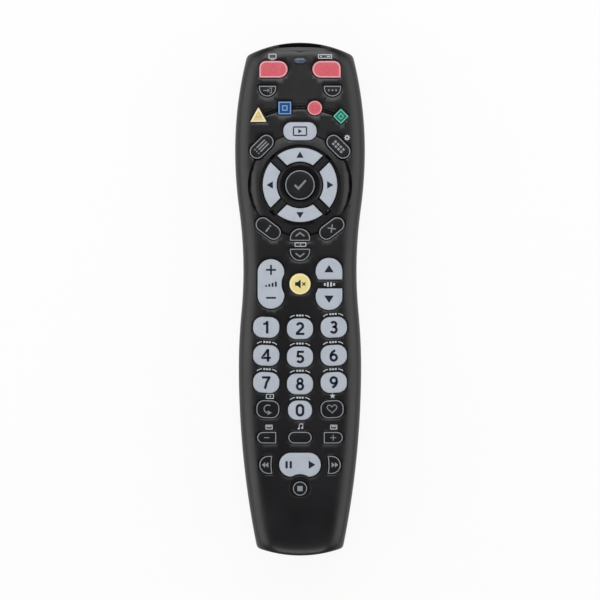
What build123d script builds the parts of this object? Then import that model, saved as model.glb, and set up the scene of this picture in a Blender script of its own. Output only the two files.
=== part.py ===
from build123d import *
import math
import os

os.makedirs("parts", exist_ok=True)

# A hand-held infrared remote control lying on its back, in millimetres.
# X runs across it, Y towards its infrared window and Z up towards the keys.
# The origin is the middle of the flat back, under the middle of the outline.

# Outline, seen from above. Places between the two ends were laid out on a case of one
# length, and spread or close up along it when the length changes.
length = 222.0
head_y = length / 2
tail_y = -length / 2
laid_out_length = 222.0
along = length / laid_out_length
palm_width = 56.2
palm_y = 64.3 * along
waist_width = 49.0
waist_y = 12.4 * along
grip_width = 53.0
grip_y = -29.2 * along
head_width = 45.8
head_drop = 5.7
tail_width = 37.2
tail_drop = 3.4
palm_share = 0.49
grip_share = 0.56

# Section of the case
front_height = 27.6
front_thickness = 3.0
top_edge_radius = 5.5
back_edge_radius = 9.0
end_edge = 1.6
wall = 1.8
inner_edge_extra = 0.1
parting_height = 13.0
lip_height = 1.2
lip_clearance = 0.1
lip_inset = 0.95

# Battery compartment and its door
cell_diameter = 14.5
cell_length = 50.5
cell_nub_diameter = 5.5
cell_nub_length = 1.0
cell_pitch = 14.9
cell_clearance = 0.2
cell_middle_y = tail_y + 41.0
contact_room = 2.2
compartment_wall = 1.4
roof_thickness = 1.2
door_gap = 0.15
tail_lap = 2.8
rail_set_back = 1.0
gusset_half = 0.7
rail_thickness = 1.1
rail_height = 3.0
rail_hook = 1.1
rail_hook_height = 1.0
rail_clearance = 0.2
door_tongue_width = 6.5
door_tongue_length = 3.0
door_tongue_thickness = 1.0
grip_rib_first_y = tail_y + 16.0
grip_rib_count = 6
grip_rib_pitch = 2.2
grip_rib_width = 0.9
grip_rib_depth = 0.45
grip_rib_length = 17.0

# Battery contacts
contact_sheet = 0.4
leaf_half = 5.5
leaf_width = 7.0
plate_reach = 6.2
tab_half_width = 1.2
tab_slot_gap = 0.2

# Electronics
board_thickness = 1.2
board_margin = 4.4
board_head_y = head_y - 9.4
board_tail_y = tail_y + 13.0
roof_rib_pitch = 18.0
roof_rib_half = 9.0
board_posts = [(-15, 84.0), (15, 84.0), (-16, 36.0), (16, 36.0), (-14, -6.0), (14, -6.0)]
post_half = 2.0
post_wall = 1.2
chip_side = 9.0
chip_height = 1.6
chip_y = 8.0 * along
resonator_x = 12.0
resonator_width = 7.0
resonator_depth = 3.0
resonator_height = 4.0
capacitor_x = 10.0
capacitor_y = 22.0 * along
capacitor_radius = 2.5
capacitor_height = 7.0
board_tongue_width = 7.0
board_tongue_y = head_y - 5.8
sheet_thickness = 1.0
sheet_head_y = head_y - 10.1
pad_height = 1.3
pad_inset = 2.2

# Keys and the collars that guide them
key_proud = 1.1
flush_proud = 0.5
key_gap = 0.22
rocker_gap = 0.45
flange_thickness = 0.8
flange_margin = 0.65
flange_clearance = 0.2
rocker_tilt = 3.5

# Inside of the front: where it is thicker, and the ribs between the rows of keys
field_margin = 6.5
field_tail_y = tail_y + 22.5
rib_half = 19.0
rib_thickness = 0.9
rib_depth = 1.2

# Navigation pad
pad_y = 49.4 * along
ring_outer = 16.1
ring_inner = 10.1
spoke_width = 4.0
channel_outer = 17.6
channel_inner = 9.6
channel_depth = 0.8
bowl_outer = 9.3
bowl_inner = 7.0
bowl_depth = 0.9
ok_radius = 6.6
disc_radius = 22.3
disc_groove = 0.45
disc_groove_depth = 0.35
slope_start_y = pad_y - 15.9
slope_angle = 8.0

# Trench that links the four coloured keys
trench_radius = 39.0
trench_y = 83.05 * along - trench_radius
trench_width = 1.3
trench_depth = 0.6
trench_half = 17.5

# Infrared window and status light
window_half = 15.8
window_rim_radius = 142.0
window_depth = 1.9
window_low = 8.5
window_gap = 0.08
plug_half = 12.9
plug_low = 10.5
plug_high = 21.0
plate_half = 6.0
plate_thickness = 1.0
plate_lap = 1.2
emitter_x = 6.0
emitter_radius = 1.5
emitter_length = 5.1
emitter_y = head_y - 8.8
lead_pitch = 2.54
lead_size = 0.5
lead_length = 6.0
light_chip_width = 1.6
light_chip_depth = 0.8
light_y = head_y - 7.7
light_width = 4.9
light_height = 2.2
light_chip_height = 0.7
pipe_shoulder = 0.5
rest_clearance = 0.05

# Screws under the battery door
screw_x = 9.0
screw_y = tail_y + 7.4
screw_head_radius = 2.3
screw_head_height = 1.6
screw_radius = 1.2
screw_length = 12.0
boss_radius = 3.2
boss_low = 2.8
boss_split = 10.0
screw_clearance = 0.05

# Stakes that locate the rubber sheet and the circuit board under the front
stake_radius = 0.9
stake_proud = 0.8
stake_gap = 0.15
stake_spots = [(0, 92.0 * along), (0, -54.5 * along)]

# Heights that stack up from the flat back to the roof of the battery compartment
cell_z = wall + cell_clearance + cell_diameter / 2
roof_low = cell_z + cell_diameter / 2 + cell_clearance
roof_top = roof_low + roof_thickness

# Heights that stack down from the front to the circuit board
deck_height = front_height - front_thickness
flange_top = deck_height - flange_clearance
flange_low = flange_top - flange_thickness
sheet_top = flange_low - pad_height
sheet_low = sheet_top - sheet_thickness
board_low = sheet_low - board_thickness
above = front_height + 10.0
screw_spots = [(-screw_x, screw_y), (screw_x, screw_y)]


def side_line(inset):
    """The right-hand side from tail to head: tangent arcs through palm, waist and grip."""
    run_on = 12.0
    palm = Vector(palm_width / 2 - inset, palm_y)
    waist = Vector(waist_width / 2 - inset, waist_y)
    grip = Vector(grip_width / 2 - inset, grip_y)
    head = Vector(head_width / 2 - inset, head_y - head_drop)
    tail = Vector(tail_width / 2 - inset, tail_y + tail_drop)
    upper_turn = palm + (waist - palm) * palm_share
    lower_turn = grip + (waist - grip) * grip_share
    head_lean = 2 * math.atan2(palm.X - head.X, head.Y - palm.Y)
    tail_lean = 2 * math.atan2(grip.X - tail.X, grip.Y - tail.Y)
    head_far = head + Vector(-math.sin(head_lean), math.cos(head_lean)) * run_on
    tail_far = tail + Vector(-math.sin(tail_lean), -math.cos(tail_lean)) * run_on
    Line(tail_far, tail)
    TangentArc(grip, tail, tangent=(0, -1))
    TangentArc(grip, lower_turn, tangent=(0, 1))
    TangentArc(waist, lower_turn, tangent=(0, -1))
    TangentArc(waist, upper_turn, tangent=(0, 1))
    TangentArc(palm, upper_turn, tangent=(0, -1))
    TangentArc(palm, head, tangent=(0, 1))
    Line(head, head_far)
    return head_far, tail_far


def long_plan(inset):
    """Plan of the case without its rounded ends, drawn into the open sketch."""
    with BuildLine() as border:
        head_far, tail_far = side_line(inset)
        mirror(about=Plane.YZ)
        Line(head_far, (-head_far.X, head_far.Y))
        Line(tail_far, (-tail_far.X, tail_far.Y))
    make_face(border.edges())


def end_plan(inset):
    """A wide plan whose ends are the arcs of head and tail, drawn into the open sketch."""
    head_x = head_width / 2
    tail_x = tail_width / 2
    head_arc = (head_x**2 + head_drop**2) / (2 * head_drop) - inset
    tail_arc = (tail_x**2 + tail_drop**2) / (2 * tail_drop) - inset
    head_end = head_y - inset
    tail_end = tail_y + inset
    head_side = head_end - (head_arc - math.sqrt(head_arc**2 - head_x**2))
    tail_side = tail_end + (tail_arc - math.sqrt(tail_arc**2 - tail_x**2))
    wide = palm_width
    with BuildLine() as border:
        ThreePointArc((-head_x, head_side), (0, head_end), (head_x, head_side))
        Polyline((head_x, head_side), (wide, head_side), (wide, tail_side), (tail_x, tail_side))
        ThreePointArc((tail_x, tail_side), (0, tail_end), (-tail_x, tail_side))
        Polyline((-tail_x, tail_side), (-wide, tail_side), (-wide, head_side), (-head_x, head_side))
    make_face(border.edges())


def outer_case():
    """The closed outer form of the case: side arcs, flat front and back, long edges rounded."""
    with BuildPart() as form:
        with BuildSketch(Plane.XY):
            long_plan(0)
        extrude(amount=front_height)
        front = form.faces().sort_by(Axis.Z)[-1]
        fillet([e for e in front.edges() if abs(e.center().Y) < head_y], top_edge_radius)
        back = form.faces().sort_by(Axis.Z)[0]
        fillet([e for e in back.edges() if abs(e.center().Y) < head_y], back_edge_radius)
        with BuildSketch(Plane.XY):
            end_plan(0)
        extrude(amount=front_height, mode=Mode.INTERSECT)
        chamfer(form.faces().sort_by(Axis.Y)[-1].edges(), end_edge)
        chamfer(form.faces().sort_by(Axis.Y)[0].edges(), end_edge)
    return form.part


def inner_case():
    """The hollow inside the wall, with its long edges cut back to clear the rounded outside."""
    high = front_height - wall
    with BuildPart() as form:
        with BuildSketch(Plane.XY.offset(wall)):
            long_plan(wall)
        extrude(amount=high - wall)
        for height, radius in ((high, top_edge_radius), (wall, back_edge_radius)):
            slanted = (2 - math.sqrt(2)) * (radius - wall) + inner_edge_extra
            level = form.faces().filter_by(Axis.Z).sort_by(lambda f: abs(f.center().Z - height))[0]
            chamfer([e for e in level.edges() if abs(e.center().Y) < head_y], slanted)
        with BuildSketch(Plane.XY):
            end_plan(wall)
        extrude(amount=front_height, mode=Mode.INTERSECT)
    return form.part


def flat_plan(inset, tail_cut, head_cut):
    """Plan of a flat inner piece that follows the case, cut square at its ends."""
    long_plan(inset)
    with Locations((0, (tail_cut + head_cut) / 2)):
        Rectangle(palm_width, head_cut - tail_cut, mode=Mode.INTERSECT)


def finish(piece, name):
    """Labels a finished piece and writes its file."""
    piece.label = name
    export_step(piece, f"parts/{name}.step")


class Key:
    """One key: its outline, its place on the front and what it needs from the case."""

    def __init__(self, name, draw, spot, size, turn=0.0, proud=key_proud, rocks=None, flange="box"):
        self.name = name
        self.draw = draw
        self.spot = spot
        self.size = size
        self.turn = turn
        self.proud = proud
        self.rocks = rocks
        self.flange = flange
        self.gap = rocker_gap if rocks else key_gap

    def plane(self, height):
        """The sketch plane of this key at a height, turned as the key is."""
        lean = math.radians(self.turn)
        spot = (self.spot[0], self.spot[1], height)
        return Plane(origin=spot, x_dir=(math.cos(lean), math.sin(lean), 0), z_dir=(0, 0, 1))

    def span(self):
        """The box round the outline, on the key's own plane."""
        with BuildSketch(Plane.XY) as plan:
            self.draw(*self.size)
        return plan.sketch.bounding_box()

    def outline(self, height, grow=0.0):
        """The key's outline as a sketch on its plane, grown outwards evenly."""
        with BuildSketch(self.plane(height)) as plan:
            self.draw(*self.size)
            if grow > 0:
                offset(amount=grow, kind=Kind.ARC if self.rocks else Kind.INTERSECTION)
        return plan.sketch


def draw_rounded(width, height, radius):
    """A rectangle with rounded corners."""
    RectangleRounded(width, height, radius)


def draw_square(side):
    """A square key."""
    Rectangle(side, side)


def draw_circle(radius):
    """A round key."""
    Circle(radius)


def draw_stadium(width, height):
    """A bar with round ends."""
    SlotOverall(width, height)


def draw_power(width, height, corner, side):
    """Round inner end, soft outer top corner and crisp outer lower corner. side is +1 or -1."""
    inner = -side * (width / 2 - height / 2)
    outer = side * width / 2
    top = height / 2
    with BuildLine() as border:
        ThreePointArc((inner, top), (inner - side * top, 0), (inner, -top))
        Line((inner, -top), (outer, -top))
        Line((outer, -top), (outer, top - corner))
        ThreePointArc(
            (outer, top - corner),
            (outer - side * corner * (1 - math.sqrt(0.5)), top - corner * (1 - math.sqrt(0.5))),
            (outer - side * corner, top),
        )
        Line((outer - side * corner, top), (inner, top))
    make_face(border.edges())


def draw_dee(width, height, corner):
    """A flat top and a bowed lower side, with soft corners."""
    with BuildLine() as border:
        Line((-width / 2, height / 2), (width / 2, height / 2))
        Line((width / 2, height / 2), (width / 2, height / 2 - corner))
        bow_end = height / 2 - corner
        ThreePointArc((width / 2, bow_end), (0, -height / 2), (-width / 2, bow_end))
        Line((-width / 2, bow_end), (-width / 2, height / 2))
    make_face(border.edges())


def draw_triangle(base, height):
    """An upright triangle with softened corners."""
    with BuildLine() as border:
        Polyline((-base / 2, -height / 2), (base / 2, -height / 2), (0, height / 2), close=True)
    make_face(border.edges())


def draw_segment(outer, inner, spoke):
    """A quarter of the navigation ring, between two parallel-sided diagonal spokes."""
    tip = spoke / math.sqrt(2)
    far = 2 * outer
    Circle(outer)
    Circle(inner, mode=Mode.SUBTRACT)
    with BuildLine() as border:
        Polyline((0, tip), (far, tip + far), (-far, tip + far), close=True)
    make_face(border.edges(), mode=Mode.INTERSECT)


def draw_notched(width, height, radius, notch_x, notch_y, notch_radius):
    """A bar with round ends and a round notch for a neighbouring key."""
    RectangleRounded(width, height, radius)
    with Locations((notch_x, notch_y)):
        Circle(notch_radius, mode=Mode.SUBTRACT)


def draw_half(width, height, radius, notch_x, notch_y, notch_radius, upper):
    """One end of a bar that is split across, with the same notch. upper is +1 or -1."""
    RectangleRounded(width, 2 * height, radius)
    with Locations((0, upper * height)):
        Rectangle(2 * width, 2 * height, mode=Mode.INTERSECT)
    with Locations((notch_x, notch_y)):
        Circle(notch_radius, mode=Mode.SUBTRACT)


def draw_end_bar(width, height, side):
    """A bar with one round end and one square end. side is +1 or -1, where the round end is."""
    straight = width - height / 2
    with Locations((-side * (width - straight) / 2, 0)):
        Rectangle(straight, height)
    with Locations((side * (width / 2 - height / 2), 0)):
        Circle(height / 2)


def draw_side_dee(width, height, side):
    """A bowed outer side and a straight inner side. side is +1 or -1, where the bow is."""
    bow = height / 2
    outer = side * width / 2
    start = outer - side * bow
    with BuildLine() as border:
        ThreePointArc((start, -bow), (outer, 0), (start, bow))
        Line((start, bow), (-outer, bow))
        Line((-outer, bow), (-outer, -bow))
        Line((-outer, -bow), (start, -bow))
    make_face(border.edges())


# Spots and sizes of the keys, from the head down. Pairs stand at plus and minus x.
power_x = 11.47
power_y = 99.45 * along
power_size = (12.3, 7.36, 2.2)
setup_x = 14.05
setup_y = 90.0 * along
setup_size = (7.9, 5.1, 0.9)
square_spot = (-6.58, 82.7 * along)
square_side = 5.65
round_spot = (6.4, 82.7 * along)
round_radius = 3.2
triangle_spot = (-18.0, 79.9 * along)
triangle_size = (7.15, 6.5)
diamond_spot = (17.7, 79.1 * along)
diamond_side = 4.9
demand_y = 72.66 * along
demand_size = (14.4, 7.9, 3.6)
guide_x = 16.6
guide_y = 65.95 * along
guide_lean = 45.0
capsule_size = (12.5, 6.7)
info_x = 13.75
info_y = 30.55 * along
info_lean = 37.0
page_up_y = 27.9 * along
page_down_y = 19.15 * along
page_size = (9.2, 5.8, 0.9)
rocker_x = 12.55
rocker_y = 6.55 * along
rocker_width = 11.5
volume_height = 21.5
channel_height = 22.6
channel_gap = 3.85
rocker_corner = 5.7
mute_radius = 4.6
mute_notch = 8.0
digit_x = 14.6
digit_row_y = (-12.2, -24.35, -36.1)
digit_dip = 0.65
digit_size = (11.3, 9.0, 4.0)
zero_y = -48.1 * along
zero_size = (10.4, 8.4, 3.9)
digit_lean = 3.0
last_x = 13.9
last_y = -47.65 * along
last_size = (10.4, 8.2, 3.5)
day_x = 14.4
day_y = -59.98 * along
day_size = (8.7, 5.45)
music_size = (10.6, 5.5)
seek_x = 14.75
play_y = -71.7 * along
seek_size = (6.2, 8.3)
play_size = (18.0, 10.4, 5.15)
stop_y = -82.0 * along
stop_radius = 3.33
stop_notch = 6.2
stop_recess = 4.7
stop_recess_depth = 0.35

keys = []
for name, side in (("tv_power_key", -1), ("box_power_key", 1)):
    keys.append(Key(name, draw_power, (side * power_x, power_y), (*power_size, side), flange="shape"))
for name, side in (("input_key", -1), ("setup_key", 1)):
    keys.append(Key(name, draw_dee, (side * setup_x, setup_y), setup_size, proud=flush_proud))
keys.append(Key("triangle_key", draw_triangle, triangle_spot, triangle_size))
keys.append(Key("square_key", draw_square, square_spot, (square_side,)))
keys.append(Key("round_key", draw_circle, round_spot, (round_radius,)))
keys.append(Key("diamond_key", draw_square, diamond_spot, (diamond_side,), turn=45))
keys.append(Key("on_demand_key", draw_rounded, (0, demand_y), demand_size))
for name, side in (("guide_key", -1), ("menu_key", 1)):
    spot = (side * guide_x, guide_y)
    keys.append(Key(name, draw_stadium, spot, capsule_size, turn=-side * guide_lean, proud=flush_proud))
for name, turn in (("up_key", 0), ("left_key", 90), ("down_key", 180), ("right_key", 270)):
    size = (ring_outer, ring_inner, spoke_width)
    keys.append(Key(name, draw_segment, (0, pad_y), size, turn=turn, proud=flush_proud, flange="shape"))
keys.append(Key("ok_key", draw_circle, (0, pad_y), (ok_radius,), proud=flush_proud, flange="shape"))
for name, side in (("info_key", -1), ("exit_key", 1)):
    spot = (side * info_x, info_y)
    keys.append(Key(name, draw_stadium, spot, capsule_size, turn=side * info_lean, proud=flush_proud))
keys.append(Key("page_up_key", draw_dee, (0, page_up_y), page_size, turn=180, proud=flush_proud))
keys.append(Key("page_down_key", draw_dee, (0, page_down_y), page_size, proud=flush_proud))
volume_size = (rocker_width, volume_height, rocker_corner, rocker_x, 0, mute_notch)
keys.append(Key("volume_rocker", draw_notched, (-rocker_x, rocker_y), volume_size, rocks="X"))
channel_reach = (channel_height - channel_gap) / 2
for name, upper in (("channel_up_key", 1), ("channel_down_key", -1)):
    foot = upper * channel_gap / 2
    size = (rocker_width, channel_reach, rocker_corner, -rocker_x, -foot, mute_notch, upper)
    keys.append(Key(name, draw_half, (rocker_x, rocker_y + foot), size, flange="shape"))
keys.append(Key("mute_key", draw_circle, (0, rocker_y), (mute_radius,)))
for row, row_y in enumerate(digit_row_y):
    for column in (-1, 0, 1):
        spot = (column * digit_x, row_y * along - (digit_dip if column == 0 else 0))
        name = f"digit_{3 * row + column + 2}_key"
        keys.append(Key(name, draw_rounded, spot, digit_size, turn=column * digit_lean))
keys.append(Key("digit_0_key", draw_rounded, (0, zero_y), zero_size))
for name, side in (("last_key", -1), ("favourite_key", 1)):
    spot = (side * last_x, last_y)
    lean = side * digit_lean
    keys.append(Key(name, draw_rounded, spot, last_size, turn=lean, proud=flush_proud))
for name, side in (("day_back_key", -1), ("day_forward_key", 1)):
    keys.append(Key(name, draw_end_bar, (side * day_x, day_y), (*day_size, side), proud=flush_proud))
keys.append(Key("music_key", draw_stadium, (0, day_y), music_size, proud=flush_proud))
for name, side in (("rewind_key", -1), ("fast_forward_key", 1)):
    spot = (side * seek_x, play_y)
    keys.append(Key(name, draw_side_dee, spot, (*seek_size, side), proud=flush_proud, flange="shape"))
play_notched = (*play_size, 0, stop_y - play_y, stop_notch)
keys.append(Key("play_pause_rocker", draw_notched, (0, play_y), play_notched, rocks="Y"))
keys.append(Key("stop_key", draw_circle, (0, stop_y), (stop_radius,), proud=flush_proud))


def gap_middle(upper_y, upper_height, lower_y, lower_height):
    """Where a rib runs in the gap between two rows of keys."""
    return (upper_y + lower_y) / 2 + (lower_height - upper_height) / 4


rib_rows = [
    gap_middle(power_y, power_size[1], setup_y, setup_size[1]),
    gap_middle(rocker_y, channel_height, digit_row_y[0] * along, digit_size[1]),
    gap_middle(zero_y, zero_size[1], day_y, day_size[1]),
    gap_middle(day_y, day_size[1], play_y, play_size[1]),
]


def shifted(sketch, height):
    """A sketch drawn at zero height, lifted to where it is extruded from."""
    return sketch.moved(Location((0, 0, height)))


def key_plan(grow):
    """The outlines of all keys together, grown beyond each key's own running gap."""
    with BuildSketch(Plane.XY) as plan:
        for key in keys:
            add(key.outline(0, key.gap + grow))
    return plan.sketch


def ring_sketch(spot, outer, inner):
    """A flat ring about a spot, at zero height."""
    with BuildSketch(Plane.XY) as ring:
        with Locations(spot):
            Circle(outer)
            Circle(inner, mode=Mode.SUBTRACT)
    return ring.sketch


def light_plan(grow):
    """The oval of the status light, at zero height."""
    with BuildSketch(Plane.XY) as oval:
        with Locations((0, light_y)):
            SlotOverall(light_width + 2 * grow, light_height + 2 * grow)
    return oval.sketch


# Keys: a cap on a thin flange that the front holds back. A rocker has its flange only
# beside its pivot, so that its ends are free to dip.
pivot_half = flange_clearance / math.sin(math.radians(rocker_tilt)) - rest_clearance
for key in keys:
    span = key.span()
    with BuildPart() as cap:
        extrude(key.outline(flange_low), amount=front_height + key.proud - flange_low)
        if key.flange == "shape":
            extrude(key.outline(flange_low, flange_margin), amount=flange_thickness)
        else:
            wide = span.size.X + 2 * flange_margin
            tall = span.size.Y + 2 * flange_margin
            if key.rocks == "X":
                tall = 2 * pivot_half
            if key.rocks == "Y":
                wide = 2 * pivot_half
            with BuildSketch(key.plane(flange_low)):
                with Locations((span.center().X, span.center().Y)):
                    Rectangle(wide, tall)
            extrude(amount=flange_thickness)
    finish(cap.part, key.name)

outer_form = outer_case()
inner_form = inner_case()

# The space that the window takes in the two halves of the case, with a gap all round
window_rim_y = head_y - window_depth


def window_room(gap):
    """Prisms for the window's crescent in the rim and its plug through the wall."""
    side = palm_width
    sag = window_rim_radius - math.sqrt(window_rim_radius**2 - side**2)
    foot = window_rim_y - sag - gap
    with BuildPart() as room:
        with BuildSketch(Plane.XY.offset(window_low - gap)):
            with BuildLine():
                RadiusArc((-side, foot), (side, foot), window_rim_radius)
                Polyline((side, foot), (side, head_y + wall), (-side, head_y + wall), (-side, foot))
            make_face()
            with Locations((0, head_y)):
                Rectangle(2 * (window_half + gap), 4 * head_drop, mode=Mode.INTERSECT)
        extrude(amount=above)
        with BuildSketch(Plane.XY.offset(plug_low - gap)):
            with Locations((0, head_y)):
                Rectangle(2 * (plug_half + gap), 4 * head_drop)
        extrude(amount=plug_high - plug_low + 2 * gap)
    return room.part


def box_at(low, high):
    """A plain block between two corners, made for adding to or cutting from a piece."""
    with BuildPart() as block:
        with BuildSketch(Plane.XY.offset(low[2])):
            with Locations(((low[0] + high[0]) / 2, (low[1] + high[1]) / 2)):
                Rectangle(high[0] - low[0], high[1] - low[1])
        extrude(amount=high[2] - low[2])
    return block.part


def both_sides(low, high):
    """A plain block and its mirror image across the middle."""
    with BuildPart() as pair:
        add(box_at(low, high))
        mirror(about=Plane.YZ)
    return pair.part


def posts(spots, radius, low, high):
    """Round posts that stand at these spots from one height to another."""
    with BuildPart() as group:
        with BuildSketch(Plane.XY.offset(low)):
            with Locations(*spots):
                Circle(radius)
        extrude(amount=high - low)
    return group.part


def case_plan(inset):
    """The whole plan of the case drawn in by inset, at zero height."""
    with BuildSketch(Plane.XY) as plan:
        end_plan(inset)
    with BuildSketch(Plane.XY) as sides:
        long_plan(inset)
        add(plan.sketch, mode=Mode.INTERSECT)
    return sides.sketch


# Infrared window: a smoked lens over the head's rim, with a plug through the wall and a
# plate that holds it from inside
plate_y = head_y - wall - plate_thickness
window_space = window_room(0)
with BuildPart() as lens_plate:
    low = (-plate_half, plate_y, plug_low - plate_lap)
    add(box_at(low, (plate_half, head_y, plug_high + plate_lap)))
    add(inner_form, mode=Mode.INTERSECT)
with BuildPart() as ir_window:
    add(outer_form)
    add(window_space, mode=Mode.INTERSECT)
    add(inner_form, mode=Mode.SUBTRACT)
    add(lens_plate.part)
finish(ir_window.part, "ir_window")

# Status light: an oval light pipe with a shoulder under the case
pipe_low = sheet_low + light_chip_height + flange_clearance
with BuildPart() as light_pipe:
    extrude(shifted(light_plan(0), pipe_low), amount=front_height - pipe_low)
    shoulder_high = deck_height - rest_clearance
    with BuildSketch(Plane.XY.offset(shoulder_high - flange_thickness)):
        with Locations((0, light_y)):
            Rectangle(light_width + 2 * pipe_shoulder, light_height + 2 * pipe_shoulder)
    extrude(amount=flange_thickness)
finish(light_pipe.part, "light_pipe")

# Upper half of the case. The front is thicker where the keys pass through it, ribs run
# across between the rows of keys, and stakes hold the circuit board.
stake_low = board_low - stake_proud
with BuildPart() as room_above:
    add(inner_form)
    with BuildSketch(Plane.XY.offset(deck_height)):
        flat_plan(field_margin, field_tail_y, head_y)
    extrude(amount=front_thickness, mode=Mode.SUBTRACT)
    for rib_y in rib_rows:
        low = (-rib_half, rib_y - rib_thickness / 2, deck_height - rib_depth)
        add(box_at(low, (rib_half, rib_y + rib_thickness / 2, above)), mode=Mode.SUBTRACT)
    add(posts(stake_spots, stake_radius, stake_low, above), mode=Mode.SUBTRACT)
    add(posts(screw_spots, boss_radius, boss_split, above), mode=Mode.SUBTRACT)

# The navigation pad: a ring-shaped channel, a bowl round the middle key, a groove round it
# all, and the lower part of the disc sloping away
with BuildPart() as slope:
    lean = math.radians(slope_angle)
    start = (0, slope_start_y, front_height)
    tilted = Plane(origin=start, x_dir=(1, 0, 0), z_dir=(0, -math.sin(lean), math.cos(lean)))
    with BuildSketch(tilted):
        with Locations((0, -disc_radius)):
            Rectangle(2 * disc_radius, 2 * disc_radius)
    extrude(amount=disc_radius)
    with BuildSketch(Plane.XY):
        with Locations((0, pad_y)):
            Circle(disc_radius)
    extrude(amount=above, mode=Mode.INTERSECT)
with BuildPart() as bowl:
    with BuildSketch(Plane.XZ.offset(-pad_y)):
        with BuildLine():
            Polyline(
                (0, front_height - bowl_depth),
                (bowl_inner, front_height - bowl_depth),
                (bowl_outer, front_height),
                (0, front_height),
                close=True,
            )
        make_face()
    revolve(axis=Axis((0, pad_y, 0), (0, 0, 1)))
with BuildSketch(Plane.XY) as trench:
    with Locations((0, trench_y)):
        Circle(trench_radius + trench_width / 2)
        Circle(trench_radius - trench_width / 2, mode=Mode.SUBTRACT)
    with Locations((0, trench_y + trench_radius)):
        Rectangle(2 * trench_half, trench_radius, mode=Mode.INTERSECT)
with BuildSketch(Plane.XY) as stop_ring:
    with Locations((0, stop_y)):
        Circle(stop_recess)
pad_spot = (0, pad_y)
recesses = [
    (ring_sketch(pad_spot, channel_outer, channel_inner), channel_depth),
    (ring_sketch(pad_spot, disc_radius, disc_radius - disc_groove), disc_groove_depth),
    (trench.sketch, trench_depth),
    (stop_ring.sketch, stop_recess_depth),
]
with BuildPart() as top_case:
    add(outer_form)
    add(box_at((-length, -length, 0), (length, length, parting_height)), mode=Mode.SUBTRACT)
    add(room_above.part, mode=Mode.SUBTRACT)
    lip_room = parting_height + lip_height + lip_clearance
    extrude(case_plan(lip_inset - lip_clearance), amount=lip_room, mode=Mode.SUBTRACT)
    add(slope.part, mode=Mode.SUBTRACT)
    add(bowl.part, mode=Mode.SUBTRACT)
    for plan, depth in recesses:
        extrude(shifted(plan, front_height - depth), amount=front_height, mode=Mode.SUBTRACT)
    extrude(key_plan(0), amount=above, mode=Mode.SUBTRACT)
    extrude(light_plan(window_gap), amount=above, mode=Mode.SUBTRACT)
    add(window_room(window_gap), mode=Mode.SUBTRACT)
    screw_room = boss_low + screw_length + screw_clearance
    add(posts(screw_spots, screw_radius + screw_clearance, 0, screw_room), mode=Mode.SUBTRACT)
finish(top_case.part, "top_case")

# Where the door, its rails and the battery compartment meet
cell_half = cell_pitch / 2 + cell_diameter / 2 + cell_clearance
room_head = cell_middle_y + cell_length / 2 + contact_room
room_tail = cell_middle_y - cell_length / 2 - contact_room
door_half = cell_half - door_gap
door_end = room_head - door_gap
rail_top = wall + rail_height
rail_inner = door_half - rail_thickness
hook_low = rail_top - rail_hook_height
hook_half = door_half + rail_hook
groove_half = hook_half + rail_clearance
groove_low = hook_low - rail_clearance
groove_top = rail_top + rail_clearance
side_half = groove_half + compartment_wall
tail_lap_y = tail_y + wall + tail_lap
tongue_low = wall + door_gap
tongue_half = door_tongue_width / 2
tongue_top = tongue_low + door_tongue_thickness
seat = boss_low + screw_head_height

# Lower half of the case: shell, lip, battery compartment, runners, bosses and board posts
with BuildPart() as lip:
    extrude(shifted(case_plan(lip_inset), parting_height - wall), amount=wall + lip_height)
    add(inner_form, mode=Mode.SUBTRACT)
with BuildPart() as compartment:
    low = (-side_half, room_tail - compartment_wall, 0)
    add(box_at(low, (side_half, room_head + compartment_wall, roof_top)))
    upper_half = cell_half + compartment_wall
    for side_x in (-upper_half - palm_width, upper_half):
        low = (side_x, -length, groove_top + compartment_wall)
        add(box_at(low, (side_x + palm_width, length, above)), mode=Mode.SUBTRACT)
    add(both_sides((cell_half, tail_y, 0), (side_half, room_tail, groove_top + compartment_wall)))
    for side_x in (-screw_x, screw_x):
        low = (side_x - gusset_half, tail_y + wall / 2, groove_top + rail_clearance)
        add(box_at(low, (side_x + gusset_half, room_tail, boss_split)))
    add(outer_form, mode=Mode.INTERSECT)
    add(box_at((-cell_half, room_tail, 0), (cell_half, room_head, roof_low)), mode=Mode.SUBTRACT)
with BuildPart() as door_space:
    add(box_at((-cell_half, -length, -wall), (cell_half, room_head, boss_low - rail_clearance)))
    add(both_sides((rail_inner - rail_clearance, -length, -wall), (cell_half, room_head, groove_top)))
    add(both_sides((rail_inner, -length, groove_low), (groove_half, room_head, groove_top)))
    add(box_at((-groove_half, -length, -wall), (groove_half, tail_lap_y, groove_top)))
    tongue_room = tongue_half + rail_clearance
    high = (tongue_room, room_head + 2 * door_tongue_length, tongue_top + door_gap)
    add(box_at((-tongue_room, room_tail, wall), high))
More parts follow.
